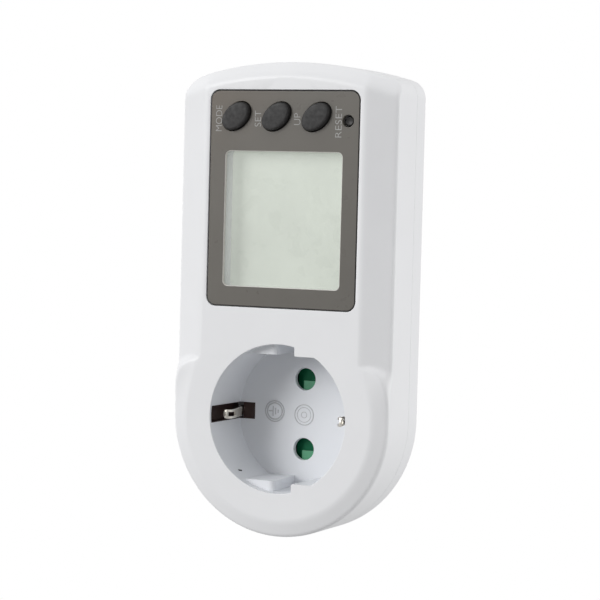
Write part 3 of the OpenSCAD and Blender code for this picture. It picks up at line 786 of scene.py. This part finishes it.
def board():
    """Printed circuit board: green lacquer with paler copper tracks under it."""
    colour = (0.02, 0.16, 0.06)
    mat, bsdf = principled("board", colour, 0.3)
    coords = node(mat, "TexCoord")
    mapping = node(mat, "Mapping")
    mapping.inputs["Rotation"].default_value = (radians(90), 0, 0)
    link(mat, coords.outputs["Object"], mapping.inputs["Vector"])
    tracks = node(mat, "TexBrick", Scale=240.0, offset=0.35)
    tracks.inputs["Mortar Size"].default_value = 0.05
    tracks.inputs["Color1"].default_value = (*colour, 1)
    tracks.inputs["Color2"].default_value = (*shade(colour, 0.8), 1)
    tracks.inputs["Mortar"].default_value = (0.05, 0.30, 0.10, 1)
    link(mat, mapping.outputs["Vector"], tracks.inputs["Vector"])
    link(mat, tracks.outputs["Color"], bsdf.inputs["Base Color"])
    vary_rough(mat, bsdf, 0.24, 0.38, 0.5)
    grain(mat, bsdf, 2.0, 0.004)
    return mat


def printed_label():
    """Blank foil label with faint rolling marks."""
    colour = (0.72, 0.72, 0.72)
    mat, bsdf = principled("label_foil", colour, 0.35, 0.4)
    vary_colour(mat, bsdf, colour, 0.04, 0.6, (1, 1, 6))
    vary_rough(mat, bsdf, 0.3, 0.42, 0.8, (1, 1, 10))
    grain(mat, bsdf, 2.0, 0.002, (1, 1, 8))
    return mat


MATERIALS = {
    "shell_white": white_plastic("white_plastic", (0.80, 0.805, 0.82)),
    "bezel_plastic": bezel_plastic(),
    "window_clear": clear_window(),
    "lcd": display_glass(),
    "reflector_foil": plated("reflector_foil", (0.75, 0.75, 0.74), 0.4),
    "holder_plastic": moulded("holder_plastic", (0.72, 0.70, 0.63), 0.5),
    "zebra_rubber": moulded("zebra_rubber", (0.60, 0.36, 0.38), 0.7),
    "board_green": board(),
    "resin_black": moulded("resin_black", (0.02, 0.02, 0.02), 0.4, 0.15),
    "steel_plain": plated("steel_plain", (0.58, 0.57, 0.56), 0.32),
    "cell_steel": plated("cell_steel", (0.70, 0.70, 0.69), 0.28),
    "key_rubber": key_rubber(),
    "carbon_pill": moulded("carbon_pill", (0.012, 0.012, 0.012), 0.8, 0.2),
    "film_capacitor": moulded("film_capacitor", (0.62, 0.30, 0.05), 0.25, 0.06),
    "capacitor_sleeve": moulded("capacitor_sleeve", (0.03, 0.035, 0.14), 0.25, 0.06),
    "varistor_blue": moulded("varistor_blue", (0.03, 0.10, 0.36), 0.22, 0.06),
    "fuse_glass": moulded("fuse_glass", (0.62, 0.66, 0.66), 0.12, 0.03),
    "resistor_tan": moulded("resistor_tan", (0.50, 0.36, 0.20), 0.3, 0.08),
    "shunt_alloy": plated("shunt_alloy", (0.52, 0.38, 0.26), 0.4),
    # The shutter's green plastic, kept darker as painted shade; its facets get a lighter copy as painted
    # light.
    "shutter_green": moulded("shutter_green", (0.004, 0.115, 0.05), 0.45, 0.10, 0.4, 0.004, 2.0, 0.1, 0.12),
    "carrier_plastic": moulded("carrier_plastic", (0.05, 0.05, 0.055), 0.5, 0.1),
    "contact_brass": plated("contact_brass", (0.78, 0.60, 0.28), 0.3),
    "pin_nickel": plated("pin_nickel", (0.74, 0.72, 0.68), 0.2, (1, 8, 1)),
    "clip_nickel": plated("clip_nickel", (0.88, 0.84, 0.76), 0.36, edge_mm=0.05, grain_mm=0.001),
    "wire_blue": moulded("wire_blue", (0.02, 0.10, 0.50), 0.4, 0.05),
    "shroud_brown": moulded("shroud_brown", (0.030, 0.012, 0.009), 0.5, 0.2),
    "label_foil": printed_label(),
}
# Painted shade: a slightly bluer copy of the white plastic for the inside of the recess.
CUP_SHADE_WHITE = white_plastic("cup_shade_white", (0.798, 0.814, 0.843))
PRINT_WHITE = moulded("print_white", (0.36, 0.36, 0.35), 0.5, 0.10, 2.0)
# Painted shade: a near-black colour for the shade around the bezel's outer edge.
BEZEL_EDGE_SHADE = moulded("bezel_edge_shade", (0.022, 0.02, 0.018), 0.35, 0.1)
# Painted highlight: a pale colour for the window's lit cut edge.
WINDOW_EDGE_HIGHLIGHT = moulded("window_edge_highlight", (0.62, 0.60, 0.57), 0.3)
# Painted light: a lighter copy of the shutter's green for its facets.
FACET_LIT_GREEN = moulded("facet_lit_green", (0.10, 0.36, 0.20), 0.35, 0.08, 0.4, 0.004, 2.0, gloss=0.4)
# Painted shade: a darker copy of the white plastic for the raised marks in the recess.
MARK_SHADE_PLASTIC = moulded("mark_shade_plastic", (0.56, 0.565, 0.58), 0.4)
DARK_SPECK = moulded("dark_speck", (0.03, 0.03, 0.03), 0.6, 0.2)


def paint(piece, mat, picks):
    """Gives the faces that picks chooses a material of their own."""
    piece.data.materials.append(mat)
    for face in piece.data.polygons:
        if picks(face):
            face.material_index = len(piece.data.materials) - 1


def dress(piece, slot, body="casing", mat=None):
    """Gives a piece its material, its slot and the body it rides on."""
    piece.data.materials.clear()
    piece.data.materials.append(mat or MATERIALS[slot])
    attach(piece, body)
    return piece


# ---- body ----

def crease(t, slope, half):
    """Zero, then a slope, with a soft crease half as wide as the two together."""
    if t <= -half:
        return 0.0
    if t >= half:
        return slope * t
    return slope * (t + half) ** 2 / (4 * half)


def blended(a, b, width):
    """The smaller of two depths, with a soft valley where they meet."""
    return min(a, b) - max(width - abs(a - b), 0) ** 2 / (4 * width)


def front_depth(x, z):
    """Depth of the front surface: a flat with sloping sides and top, and a raised round boss."""
    upper = crease(abs(x) - FLAT_X, SIDE_SLOPE, SIDE_CREASE)
    upper += crease(hypot(x, z - ARC_Z) - (ARC_R - TOP_BAND), 1.0, TOP_CREASE)
    upper += crease(-z, 1.0, BOTTOM_CREASE)
    r = hypot(x, z)
    fade = min(1.0, max(0.0, (z - BOSS_FADE_Z[0]) / (BOSS_FADE_Z[1] - BOSS_FADE_Z[0])))
    fall = 1 - BOSS_FADE * fade * fade * (3 - 2 * fade)
    boss = fall * crease(r - BOSS_FLAT_R, BOSS_SLOPE, SIDE_CREASE)
    end = hypot(max(r - BOSS_EDGE_R + BOSS_END_R, 0), max(z - BOSS_TOP_Z + BOSS_END_R, 0)) - BOSS_END_R
    boss += crease(end, BOSS_SIDE_SLOPE, BOSS_END_CREASE)
    if boss == 0 or upper == 0:
        return 0.0
    return max(0.0, blended(upper, boss, VALLEY))


def shoulder_rings(inset):
    """Rings of the rounded shoulder, from the side wall up to the front surface."""
    rings = []
    for i in range(8):
        a = radians(90 * i / 7)
        loop = outline(inset + SHOULDER_R * (1 - cos(a)))
        rise = SHOULDER_R * (1 - sin(a))
        rings.append([(x, front_depth(x, z) + inset + rise, z) for x, z in loop])
    return rings


def front_grid(inset, step):
    """A grid of staggered points on the front surface, clear of the shoulder and of the flats."""
    inner = []
    for i in range(int(2 * HALF_W / step)):
        for j in range(int((TOP + HALF_W) / step)):
            x = -HALF_W + (i + 0.5 * (j % 2)) * step
            z = -HALF_W + j * step
            if edge_distance(x, z) > inset + SHOULDER_R + 0.5 * step and front_depth(x, z) > 0:
                inner.append(Vector((x, z)))
    return inner


def front_solid(name, inset, end, step):
    """Solid under the front surface, moved inwards by inset, down to a depth of end."""
    wall = [at(outline(inset + SEAM_BEVEL), end), at(outline(inset), end - SEAM_BEVEL)]
    rings = wall + shoulder_rings(inset)
    n = len(BODY)
    points, faces = skin(rings)
    faces.append(tuple(range(n)))
    rim = [Vector((x, z)) for x, d, z in rings[-1]]
    made = geometry.delaunay_2d_cdt(rim + front_grid(inset, step), [], [list(range(n))], 1, 1e-5)
    start = len(points) - n
    place = []
    for vector, sources in zip(made[0], made[3]):
        on_rim = [s for s in sources if s < n]
        if on_rim:
            place.append(start + on_rim[0])
        else:
            place.append(len(points))
            points.append((vector.x, front_depth(vector.x, vector.y) + inset, vector.y))
    faces += [tuple(place[v] for v in face) for face in made[2]]
    return make(name, points, faces)


def rear_solid(name, inset, start):
    """Solid from the seam to the wall side, with a rounded edge at the back."""
    rings = [at(outline(inset + SEAM_BEVEL), start), at(outline(inset), start + SEAM_BEVEL)]
    for edge, drop_d in reversed(rounding(REAR_EDGE_R, 7)):
        rings.append(at(outline(inset + edge), BODY_D - inset - drop_d))
    return loft(name, rings)


def guide_blocks(sign):
    """The two guide blocks at the top or the bottom of the recess."""
    far = GUIDE_REACH
    reach = sorted((sign * GUIDE_FLAT, sign * far))
    right = soften([(far, sign * far), (GUIDE_RIGHT_X, sign * far), (GUIDE_RIGHT_X, sign * GUIDE_FLAT),
                    (far, sign * GUIDE_FLAT)], 0.5)
    left = soften([(-far, RECESS_D + 1), (-far, GUIDE_LEFT_D), (GUIDE_LEFT_X, GUIDE_LEFT_D),
                   (GUIDE_LEFT_X - 1, RECESS_D + 1)], 1.6)
    return [prism([(p.x, p.y) for p in right], -2, RECESS_D + 1),
            course([(p.x, p.y) for p in left], *reach)]


def recess_tool():
    """The space of the socket recess, with a flared rim and the guide blocks left standing."""
    profile = [(RIM_R + RIM_ROUND, -1)]
    profile += [(RIM_R + edge, d) for edge, d in rounding(RIM_ROUND)]
    profile += [(RIM_R - (RIM_R - FLOOR_R) * s, RECESS_D * s) for s in (0.4, 0.99)]
    for a in (radians(30), radians(60), radians(90)):
        profile.append((FLOOR_R - FLOOR_ROUND * (1 - cos(a)), RECESS_D - FLOOR_ROUND * (1 - sin(a))))
    tool = lathe(profile, n=192)
    return cut(tool, *guide_blocks(1), *guide_blocks(-1))


def flared(loop_of, d0, d1, r):
    """A cutting tool whose mouth at d0 opens out by r."""
    way = 1 if d1 > d0 else -1
    rings = [at(loop_of(r), d0 - 2 * way)]
    rings += [at(loop_of(edge), d0 + d * way) for edge, d in rounding(r, 4)]
    rings.append(at(loop_of(0), d1))
    return loft("tool", rings)


def key_centre(name):
    x, d, z = span(KEYS[name])
    return middle(x), middle(z)


def slot_block(side, grow, d0, d1):
    """The room of an earth clip's slot in the cup, in its wall and its floor."""
    return side_block(side, SLOT_X - grow, CUP_R + SLOT_OVER + grow, d0 - grow, d1, SLOT_HALF_H + grow)


def slot_linings():
    """Brown liners of the earth clips' slots, open at the clip's foot, with a plate behind the floor."""
    for side, hand in ((-1, "left"), (1, "right")):
        liner = slot_block(side, LINER_WALL, SLOT_D, LINER_BACK)
        cut(liner, slot_block(side, 0, SLOT_D, LINER_BACK - LINER_FLOOR))
        cut(liner, side_block(side, *CLIP_FOOT))
        join(liner, side_block(side, *PLATE))
        cut(liner, prism(circle(RIM_R - 0.1, n=192), -1, RECESS_D + 0.01))
        liner.name = "slot_lining_" + hand
        dress(smooth(liner), "shroud_brown")


def tray_loop(grow):
    """The outline of the tray that the bezel lies in."""
    w, h = size(BEZEL_X) + 2 * GAP + 2 * grow, size(BEZEL_Z) + 2 * GAP + 2 * grow
    return round_rect(w, h, BEZEL_R + GAP + grow, 0, middle(BEZEL_Z))


def front_posts(shell):
    """Adds the four screw posts to the front shell and bores them."""
    for x, z in SCREWS:
        start = FRONT_POST_STARTS[z > 0]
        for side in (-1, 1):
            join(shell, lathe([(FRONT_POST_R, start), (FRONT_POST_R, FRONT_POST_END)], side * x, z, 48))
            cut(shell, lathe([(FRONT_BORE_R, d) for d in FRONT_BORE_D], side * x, z, 32))


def front_openings(shell):
    """Cuts the recess, the tray, the window, the key holes, the pin holes and the clips' slots."""
    cut(shell, recess_tool())
    cut(shell, flared(tray_loop, 0, TRAY_D, TRAY_MOUTH))
    cut(shell, prism(round_rect(WINDOW_W + 0.6, WINDOW_H + 0.7, WINDOW_R, 0, WINDOW_Z), 1, WELL_BACK + 1))
    for name in KEYS:
        hole = oval(KEY_A + KEY_HOLE_GAP, KEY_B + KEY_HOLE_GAP, *key_centre(name))
        cut(shell, prism(hole, 1, TRAY_BACK + 1))
    cut(shell, prism(circle(RESET_HOLE_R, middle(RESET_X), middle(RESET_Z), 40), 1, TRAY_BACK + 1))
    for side in (-1, 1):
        cut(shell, flared(lambda o: circle(PIN_HOLE_R + o, 0, side * PIN_Z, 64), RECESS_D, FLOOR_BACK + 1,
                          PIN_HOLE_MOUTH))
        cut(shell, slot_block(side, SLOT_PLAY, SLOT_D, FLOOR_BACK + 1))


def in_shaded_recess(face):
    radius = hypot(face.center.x, face.center.z)
    return radius < (CUP_R - 0.3) * MM and face.center.y > FRONT_Y + RIM_ROUND * MM


def front_cover():
    shell = front_solid("front_cover", 0, SEAM, OUTER_STEP)
    cut(shell, front_solid("tool", WALL, SEAM + 1, INNER_STEP))
    tray = round_rect(size(BEZEL_X) + TRAY_WALL, size(BEZEL_Z) + TRAY_WALL, 4, 0, middle(BEZEL_Z))
    well = round_rect(WINDOW_W + 3, WINDOW_H + 3.1, 2.4, 0, WINDOW_Z)
    join(shell, lathe([(CUP_R, 1), (CUP_R, FLOOR_BACK)], n=192), prism(tray, 1, TRAY_BACK),
         prism(well, TRAY_BACK - 0.1, WELL_BACK))
    front_posts(shell)
    front_openings(shell)
    dress(smooth(shell), "shell_white")
    # The inside of the recess gets painted shade, a slightly bluer white.
    paint(shell, CUP_SHADE_WHITE, in_shaded_recess)
    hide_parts("front_shell")


def plug_loop(r, flat, n=40):
    """The plug's round outline with its flats at the top and the bottom."""
    reach = degrees(asin(flat / r))
    turn = 2 * reach * (n + 1) / n
    return arc(0, 0, r, -reach, turn - reach, n + 1) + arc(0, 0, r, 180 - reach, 180 - reach + turn, n + 1)


def plug_body():
    loops = [at(plug_loop(PLUG_R, PLUG_FLAT), BODY_D - 2)]
    loops += [at(plug_loop(PLUG_R - e, PLUG_FLAT - e), PLUG_FACE - d)
              for e, d in reversed(rounding(PLUG_EDGE_R, 6))]
    return loft("tool", loops)


def rear_screw_holes(shell, side):
    for x, z in SCREWS:
        cut(shell, lathe([(REAR_BORE_R, REAR_BORE_START), (REAR_BORE_R, BODY_D)], side * x, z, 32))
        cut(shell, flared(lambda o: circle(SCREW_WELL_R + o, side * x, z, 48), BODY_D, SCREW_WELL_END,
                          SCREW_WELL_MOUTH))


def plug_holes(shell, side):
    """Cuts one pin's seat into the plug's face, and one earth contact's slot into its side."""
    pin_z = side * PIN_Z
    cut(shell, flared(lambda o: circle(PIN_DISH_R + o, 0, pin_z, 48), PLUG_FACE, PLUG_FACE - PIN_DISH_DEPTH,
                      PIN_DISH_MOUTH))
    seat = [(PIN_SEAT_R, PLUG_FACE - PIN_SEAT_DEPTH), (PIN_SEAT_R, PLUG_FACE + 0.5)]
    cut(shell, lathe(seat, 0, pin_z, 48))
    cut(shell, lathe([(PIN_BORE_R, HOLLOW_END - 1), (PIN_BORE_R, PLUG_FACE + 0.5)], 0, pin_z, 32))
    cut(shell, side_block(side, 15, 18.35, BODY_D - 2.1, BODY_D + 0.1, STRIP_SLOT_HALF_H))
    cut(shell, side_block(side, 16.7, 20, BODY_D + 0.01, PLUG_FACE - 2.5, STRIP_SLOT_HALF_H))


def label_loop(grow):
    """The outline of the shallow well that the rating label lies in."""
    w, h = LABEL_WELL
    return round_rect(w + 2 * grow, h + 2 * grow, LABEL_WELL_R + grow, 0, middle(LABEL_Z))


def rear_cover():
    shell = rear_solid("rear_cover", 0, SEAM)
    cut(shell, rear_solid("tool", WALL, SEAM - 1))
    join(shell, plug_body())
    for x, z in SCREWS:
        for side in (-1, 1):
            join(shell, lathe([(REAR_POST_R, d) for d in REAR_POST_D], side * x, z, 48))
    cut(shell, prism(circle(PLUG_MOUTH_R, n=128), BODY_D - 2.1, BODY_D - 0.05))
    cut(shell, prism(plug_loop(HOLLOW_R, HOLLOW_FLAT), BODY_D - 0.1, HOLLOW_END))
    for side in (-1, 1):
        plug_holes(shell, side)
        rear_screw_holes(shell, side)
    cut(shell, flared(label_loop, BODY_D, BODY_D - LABEL_WELL_DEPTH, LABEL_WELL_MOUTH))
    dress(smooth(shell), "shell_white")
    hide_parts("rear_shell")


# ---- display and keys ----

def window_loop(grow):
    return round_rect(WINDOW_W + 2 * grow, WINDOW_H + 2 * grow, WINDOW_R + grow, 0, WINDOW_Z)


def on_border(face):
    """Whether a face of the bezel lies at its outer edge."""
    w, h = size(BEZEL_X), size(BEZEL_Z)
    x, z = abs(face.center.x) / MM, abs(face.center.z / MM - middle(BEZEL_Z))
    if w / 2 - x < BORDER or h / 2 - z < BORDER:
        return True
    at_corner = x > w / 2 - BEZEL_R and z > h / 2 - BEZEL_R
    return at_corner and BEZEL_R - hypot(x - w / 2 + BEZEL_R, z - h / 2 + BEZEL_R) < BORDER


# The faces at the bezel's outer edge that get painted shade; on the left side, which faces the light, only
# those that face further sideways.
def on_painted_shade_edge(face):
    limit = LEFT_BORDER_FACING if face.normal.x < LEFT_NORMAL else BORDER_FACING
    return on_border(face) and face.normal.y > limit


# The faces at the window's edge that get a pale painted highlight.
def on_window_highlight_edge(face):
    near = abs(face.center.z / MM - WINDOW_Z) < WINDOW_H / 2 + WINDOW_LAP
    return near and face.normal.y > WINDOW_FACING and not on_border(face)


def bezel_openings(panel):
    front, back = BEZEL_D
    cut(panel, flared(window_loop, front, back + 1, WINDOW_MOUTH))
    for name in KEYS:
        cut(panel, flared(lambda o: oval(KEY_A + KEY_GAP + o, KEY_B + KEY_GAP + o, *key_centre(name)),
                          front, back + 1, KEY_MOUTH))
    cut(panel, flared(lambda o: circle(RESET_HOLE_R + o, middle(RESET_X), middle(RESET_Z), 48),
                      front, back + 1, WINDOW_MOUTH))
    lens = round_rect(WINDOW_W + 4.4, WINDOW_H + 4.4, 1.5, 0, WINDOW_Z)
    cut(panel, prism(lens, LENS_D[0] - LENS_PLAY, back + 1))


def bezel_panel():
    w, h, z = size(BEZEL_X), size(BEZEL_Z), middle(BEZEL_Z)
    front, back = BEZEL_D
    rings = [at(round_rect(w - 2 * e, h - 2 * e, BEZEL_R - e, 0, z), front + d)
             for e, d in rounding(BEZEL_ROUND)]
    rings.append(at(round_rect(w, h, BEZEL_R, 0, z), back))
    panel = loft("bezel_panel", rings)
    bezel_openings(panel)
    dress(smooth(panel), "bezel_plastic")
    paint(panel, BEZEL_EDGE_SHADE, on_painted_shade_edge)
    paint(panel, WINDOW_EDGE_HIGHLIGHT, on_window_highlight_edge)
    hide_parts("display_bezel")


def key_cap(name):
    x, z = key_centre(name)
    rings = [at(oval(KEY_A - e, KEY_B - e, x, z), KEY_FRONT + d) for e, d in KEY_CROWN]
    rings += [at(oval(KEY_A - e, KEY_B - e, x, z), KEY_FRONT + KEY_CROWN_D + d)
              for e, d in rounding(KEY_ROUND, 7)]
    for grow, d in ((0, FLANGE_D), (FLANGE_GROW, FLANGE_D), (FLANGE_GROW, FLANGE_D + FLANGE_T)):
        rings.append(at(oval(KEY_A + grow, KEY_B + grow, x, z), d))
    rings += [at(oval(*KEY_NECK, x, z), d) for d in (FLANGE_D + FLANGE_T, span(KEYS[name])[1][1])]
    key = dress(smooth(loft("key_" + name, rings)), "key_rubber", "key_" + name)
    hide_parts(KEYS[name])


def reset_button():
    x, z = middle(RESET_X), middle(RESET_Z)
    profile = [(r, RESET_D[0] + d) for r, d in RESET_DISH]
    profile += [(RESET_R - e, RESET_D[0] + d) for e, d in rounding(RESET_ROUND, 4)]
    profile += [(RESET_R, FLANGE_D), (RESET_FLANGE_R, FLANGE_D), (RESET_FLANGE_R, FLANGE_D + FLANGE_T),
                (RESET_R, FLANGE_D + FLANGE_T), (RESET_R, RESET_D[1])]
    button = dress(smooth(lathe(profile, x, z, 48, "reset_button")), "key_rubber", "reset_pin")
    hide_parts("button_reset")


def flat_text(name, words, x, z, length, height):
    """Raised print that reads upwards, its middle at (x, z)."""
    text = bpy.data.curves.new(name, "FONT")
    text.body = words
    text.extrude = 1
    text.offset = PRINT_THIN
    return upright(meshed(name, text), x, z, length, height)


def upright(piece, x, z, length, height):
    """Turns a flat shape to read upwards on the bezel, and fits it to a size."""
    points = [v.co.copy() for v in piece.data.vertices]
    low = [min(p[i] for p in points) for i in range(3)]
    high = [max(p[i] for p in points) for i in range(3)]
    for vertex, p in zip(piece.data.vertices, points):
        along, up, out = ((p[i] - low[i]) / (high[i] - low[i]) for i in range(3))
        depth = BEZEL_D[0] + PRINT_SINK - PRINT_T * out
        place = x + (0.5 - up) * height, depth, z + (along - 0.5) * length
        vertex.co = place[0] * MM, FRONT_Y + place[1] * MM, place[2] * MM
    return piece


def key_labels():
    for name, words, x, z, length in PRINTS:
        dress(flat_text("print_" + name, words, x, z, length, PRINT_H), "label_foil", mat=PRINT_WHITE)


# ---- socket and plug details ----

def earth_clip(side, name):
    """A spring clip of the socket, with a window, a notch and a rounded tip."""
    clip = ribbon(name, CLIP_PATH, STRIP_T, CLIP_HALF_H, side, CLIP_BEND_R)
    cut(clip, side_block(side, *CLIP_WINDOW))
    cut(clip, side_block(side, *CLIP_NOTCH))
    corners = side_block(side, *CLIP_TIP)
    return cut(clip, cut(corners, prism(circle(CLIP_HALF_H, side * CLIP_TIP_X, 0, 48), 2, 7)))


def earth_clips():
    for side, hand in ((-1, "left"), (1, "right")):
        clip = earth_clip(side, "socket_clip_" + hand)
        dress(smooth(clip), "clip_nickel", "clip_" + hand)
        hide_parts("socket_earth_clip_" + hand)
        strip = ribbon("plug_strip_" + hand, PLUG_STRIP_PATH, STRIP_T, PLUG_STRIP_HALF_H, side,
                       PLUG_STRIP_BEND_R)
        dress(smooth(strip), "clip_nickel", "plug_contact_" + hand)
        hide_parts("plug_earth_contact_" + hand)


# The facets that get the lighter copy of the green as painted light.
def on_lit_facet(face):
    x, d, z = face.center.x / MM, (face.center.y - FRONT_Y) / MM, abs(face.center.z) / MM
    near = abs(z - PIN_Z) < GATE_SLOPE_HALF_H and x > FACET_X - 0.1
    return near and face.normal.y < -0.5 and d < span("shutter")[1][0] + FACET_D[0] + 0.04


def pin_gate():
    """The shutter behind the pin holes, with a hollow slope and a raised facet behind each hole; the facets
    get a lighter copy of its green as painted light, the rest a darker green as painted shade.
    """
    (x0, x1), (d0, d1), (z0, z1) = span("shutter")
    gate = block(x0, x1, d0, d1, z0, z1, "pin_gate")
    slope = [(x0 - 1, d0 - 1), (x1 + 1, d0 - 1),
             (x1 + 1, d0 + GATE_SLOPE_D[1]), (x0 - 1, d0 + GATE_SLOPE_D[0])]
    raised = [(FACET_X, d0 + FACET_FOOT), (FACET_X, d0 + FACET_D[0]),
              (x1, d0 + FACET_D[1]), (x1, d0 + FACET_FOOT)]
    for side in (-1, 1):
        z = side * PIN_Z
        cut(gate, course(slope, z - GATE_SLOPE_HALF_H, z + GATE_SLOPE_HALF_H))
        join(gate, bevel(course(raised, z + FACET_Z[0], z + FACET_Z[1]), FACET_ROUND, 2))
    dress(smooth(gate), "shutter_green", "pin_shutter")
    paint(gate, FACET_LIT_GREEN, on_lit_facet)
    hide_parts("shutter")


def ring(centre, r, thick):
    """A raised ring on the floor of the recess."""
    return rod("mark", at(circle(r, *centre, 64), RECESS_D), thick, True)


def bar(x0, z0, x1, z1):
    return rod("mark", [(x0, RECESS_D, z0), (x1, RECESS_D, z1)], EARTH_BAR_T)


def floor_marks():
    """Fine raised marks in the recess: a ringed earth symbol and plain rings, darker than the white plastic
    as painted shade, and a small dark speck.
    """
    x, z = EARTH_MARK
    lines = [ring(EARTH_MARK, r, EARTH_RING_T) for r in EARTH_RINGS]
    lines.append(bar(x + EARTH_STEM[0], z, x + EARTH_STEM[1], z))
    lines += [bar(x + place, z - half, x + place, z + half) for place, half in EARTH_BARS]
    lines += [ring(PLAIN_MARK, r, thick) for r, thick in PLAIN_RINGS]
    dress(smooth(merge("floor_marks", lines)), "shell_white", mat=MARK_SHADE_PLASTIC)
    dress(smooth(rod("speck_mark", SPECK_PATH, SPECK_T)), "resin_black", mat=DARK_SPECK)


def spring_coil():
    """The shutter's spring, built as a coil of one length, though the spring shortens as the shutter slides.
    """
    x, d, z = span("shutter_spring")
    wire, turns = SPRING_WIRE, SPRING_TURNS
    r = size(z) / 2 - wire
    x0, x1 = x[0] + wire, x[1] - wire
    steps = turns * 24
    path = [(x0 + (x1 - x0) * i / steps, middle(d) + r * cos(2 * pi * turns * i / steps),
             middle(z) + r * sin(2 * pi * turns * i / steps)) for i in range(steps + 1)]
    coil = dress(smooth(rod("spring_coil", path, wire)), "steel_plain")
    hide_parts("shutter_spring")
    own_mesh(coil)


# ---- studio ----

def sun(name, azimuth, elevation, strength, spread):
    """A soft light; azimuth is counted from the front towards the right, in degrees."""
    data = bpy.data.lights.new(name, "SUN")
    data.energy = strength
    data.angle = radians(spread)
    lamp = bpy.data.objects.new(name, data)
    a, e = radians(azimuth), radians(elevation)
    towards = Vector((sin(a) * cos(e), -cos(a) * cos(e), sin(e)))
    lamp.rotation_euler = towards.to_track_quat("Z", "Y").to_euler()
    bpy.context.scene.collection.objects.link(lamp)


def emitter(name, strength):
    mat = bpy.data.materials.new(name)
    mat.use_nodes = True
    tree = mat.node_tree
    tree.nodes.remove(tree.nodes["Principled BSDF"])
    glow = tree.nodes.new("ShaderNodeEmission")
    glow.inputs["Strength"].default_value = strength
    tree.links.new(glow.outputs["Emission"], tree.nodes["Material Output"].inputs["Surface"])
    return mat


def surroundings():
    """Even light from all sides, dimmer from straight ahead and from below; the backdrop itself is white."""
    world = bpy.data.worlds.new("studio")
    world.use_nodes = True
    bpy.context.scene.world = world
    sky = world.node_tree.nodes["Background"]
    split = node(world, "SeparateXYZ")
    link(world, node(world, "TexCoord").outputs["Generated"], split.inputs["Vector"])
    front = ramp(world, mapped(world, split.outputs["Y"], -1.0, 1.0), (0.0, (0.3, 0.3, 0.3)),
                 (0.3, (1.0, 1.0, 1.0)))
    height = mapped(world, split.outputs["Z"], -1.0, 1.0, AMBIENT * AMBIENT_BELOW, AMBIENT * AMBIENT_ABOVE)
    level = node(world, "Math", operation="MULTIPLY")
    link(world, front, level.inputs[0])
    link(world, height, level.inputs[1])
    pick = node(world, "Mix", data_type="FLOAT")
    pick.inputs["B"].default_value = 1.0
    link(world, node(world, "LightPath").outputs["Is Camera Ray"], pick.inputs["Factor"])
    link(world, level.outputs["Value"], pick.inputs["A"])
    link(world, pick.outputs["Result"], sky.inputs["Strength"])
    sky.inputs["Color"].default_value = (1, 1, 1, 1)


def studio():
    half, level = FLOOR_HALF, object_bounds()[0][2] - FLOOR_DROP
    mesh = bpy.data.meshes.new("floor")
    corners = [(-half, -half, level), (half, -half, level), (half, half, level), (-half, half, level)]
    mesh.from_pydata(corners, [], [(0, 1, 2, 3)])
    floor = bpy.data.objects.new("floor", mesh)
    mesh.materials.append(emitter("pale_floor", FLOOR_GLOW))
    bpy.context.scene.collection.objects.link(floor)
    floor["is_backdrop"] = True
    for ray in ("diffuse", "glossy", "transmission", "shadow"):
        setattr(floor, "visible_" + ray, False)
    surroundings()
    for name, azimuth, elevation, strength, spread in LIGHTS:
        sun(name, azimuth, elevation, strength, spread)
    bpy.context.scene.view_settings.view_transform = "Standard"


def camera():
    data = bpy.data.cameras.new("camera")
    data.lens = LENS_LENGTH
    data.sensor_width = SENSOR_WIDTH
    data.clip_start, data.clip_end = CAMERA_CLIP
    eye = bpy.data.objects.new("camera", data)
    eye.location = Vector(CAMERA_AT) * MM
    forward, up = Vector(CAMERA_FORWARD), Vector(CAMERA_UP)
    right = forward.cross(up).normalized()
    up = right.cross(forward).normalized()
    turn = Matrix((right, up, -forward.normalized())).transposed()
    eye.rotation_euler = turn.to_euler()
    bpy.context.scene.collection.objects.link(eye)
    bpy.context.scene.camera = eye


def carried_nodes():
    """Every CAD node that still shows gets the detailed material of its slot."""
    for shape in frame["nodes"].values():
        for place in shape.material_slots:
            place.material = MATERIALS[place.material.name.split(".")[0]]


carried_nodes()
front_cover()
slot_linings()
rear_cover()
bezel_panel()
for key in KEYS:
    key_cap(key)
reset_button()
key_labels()
earth_clips()
pin_gate()
floor_marks()
spring_coil()
studio()
camera()
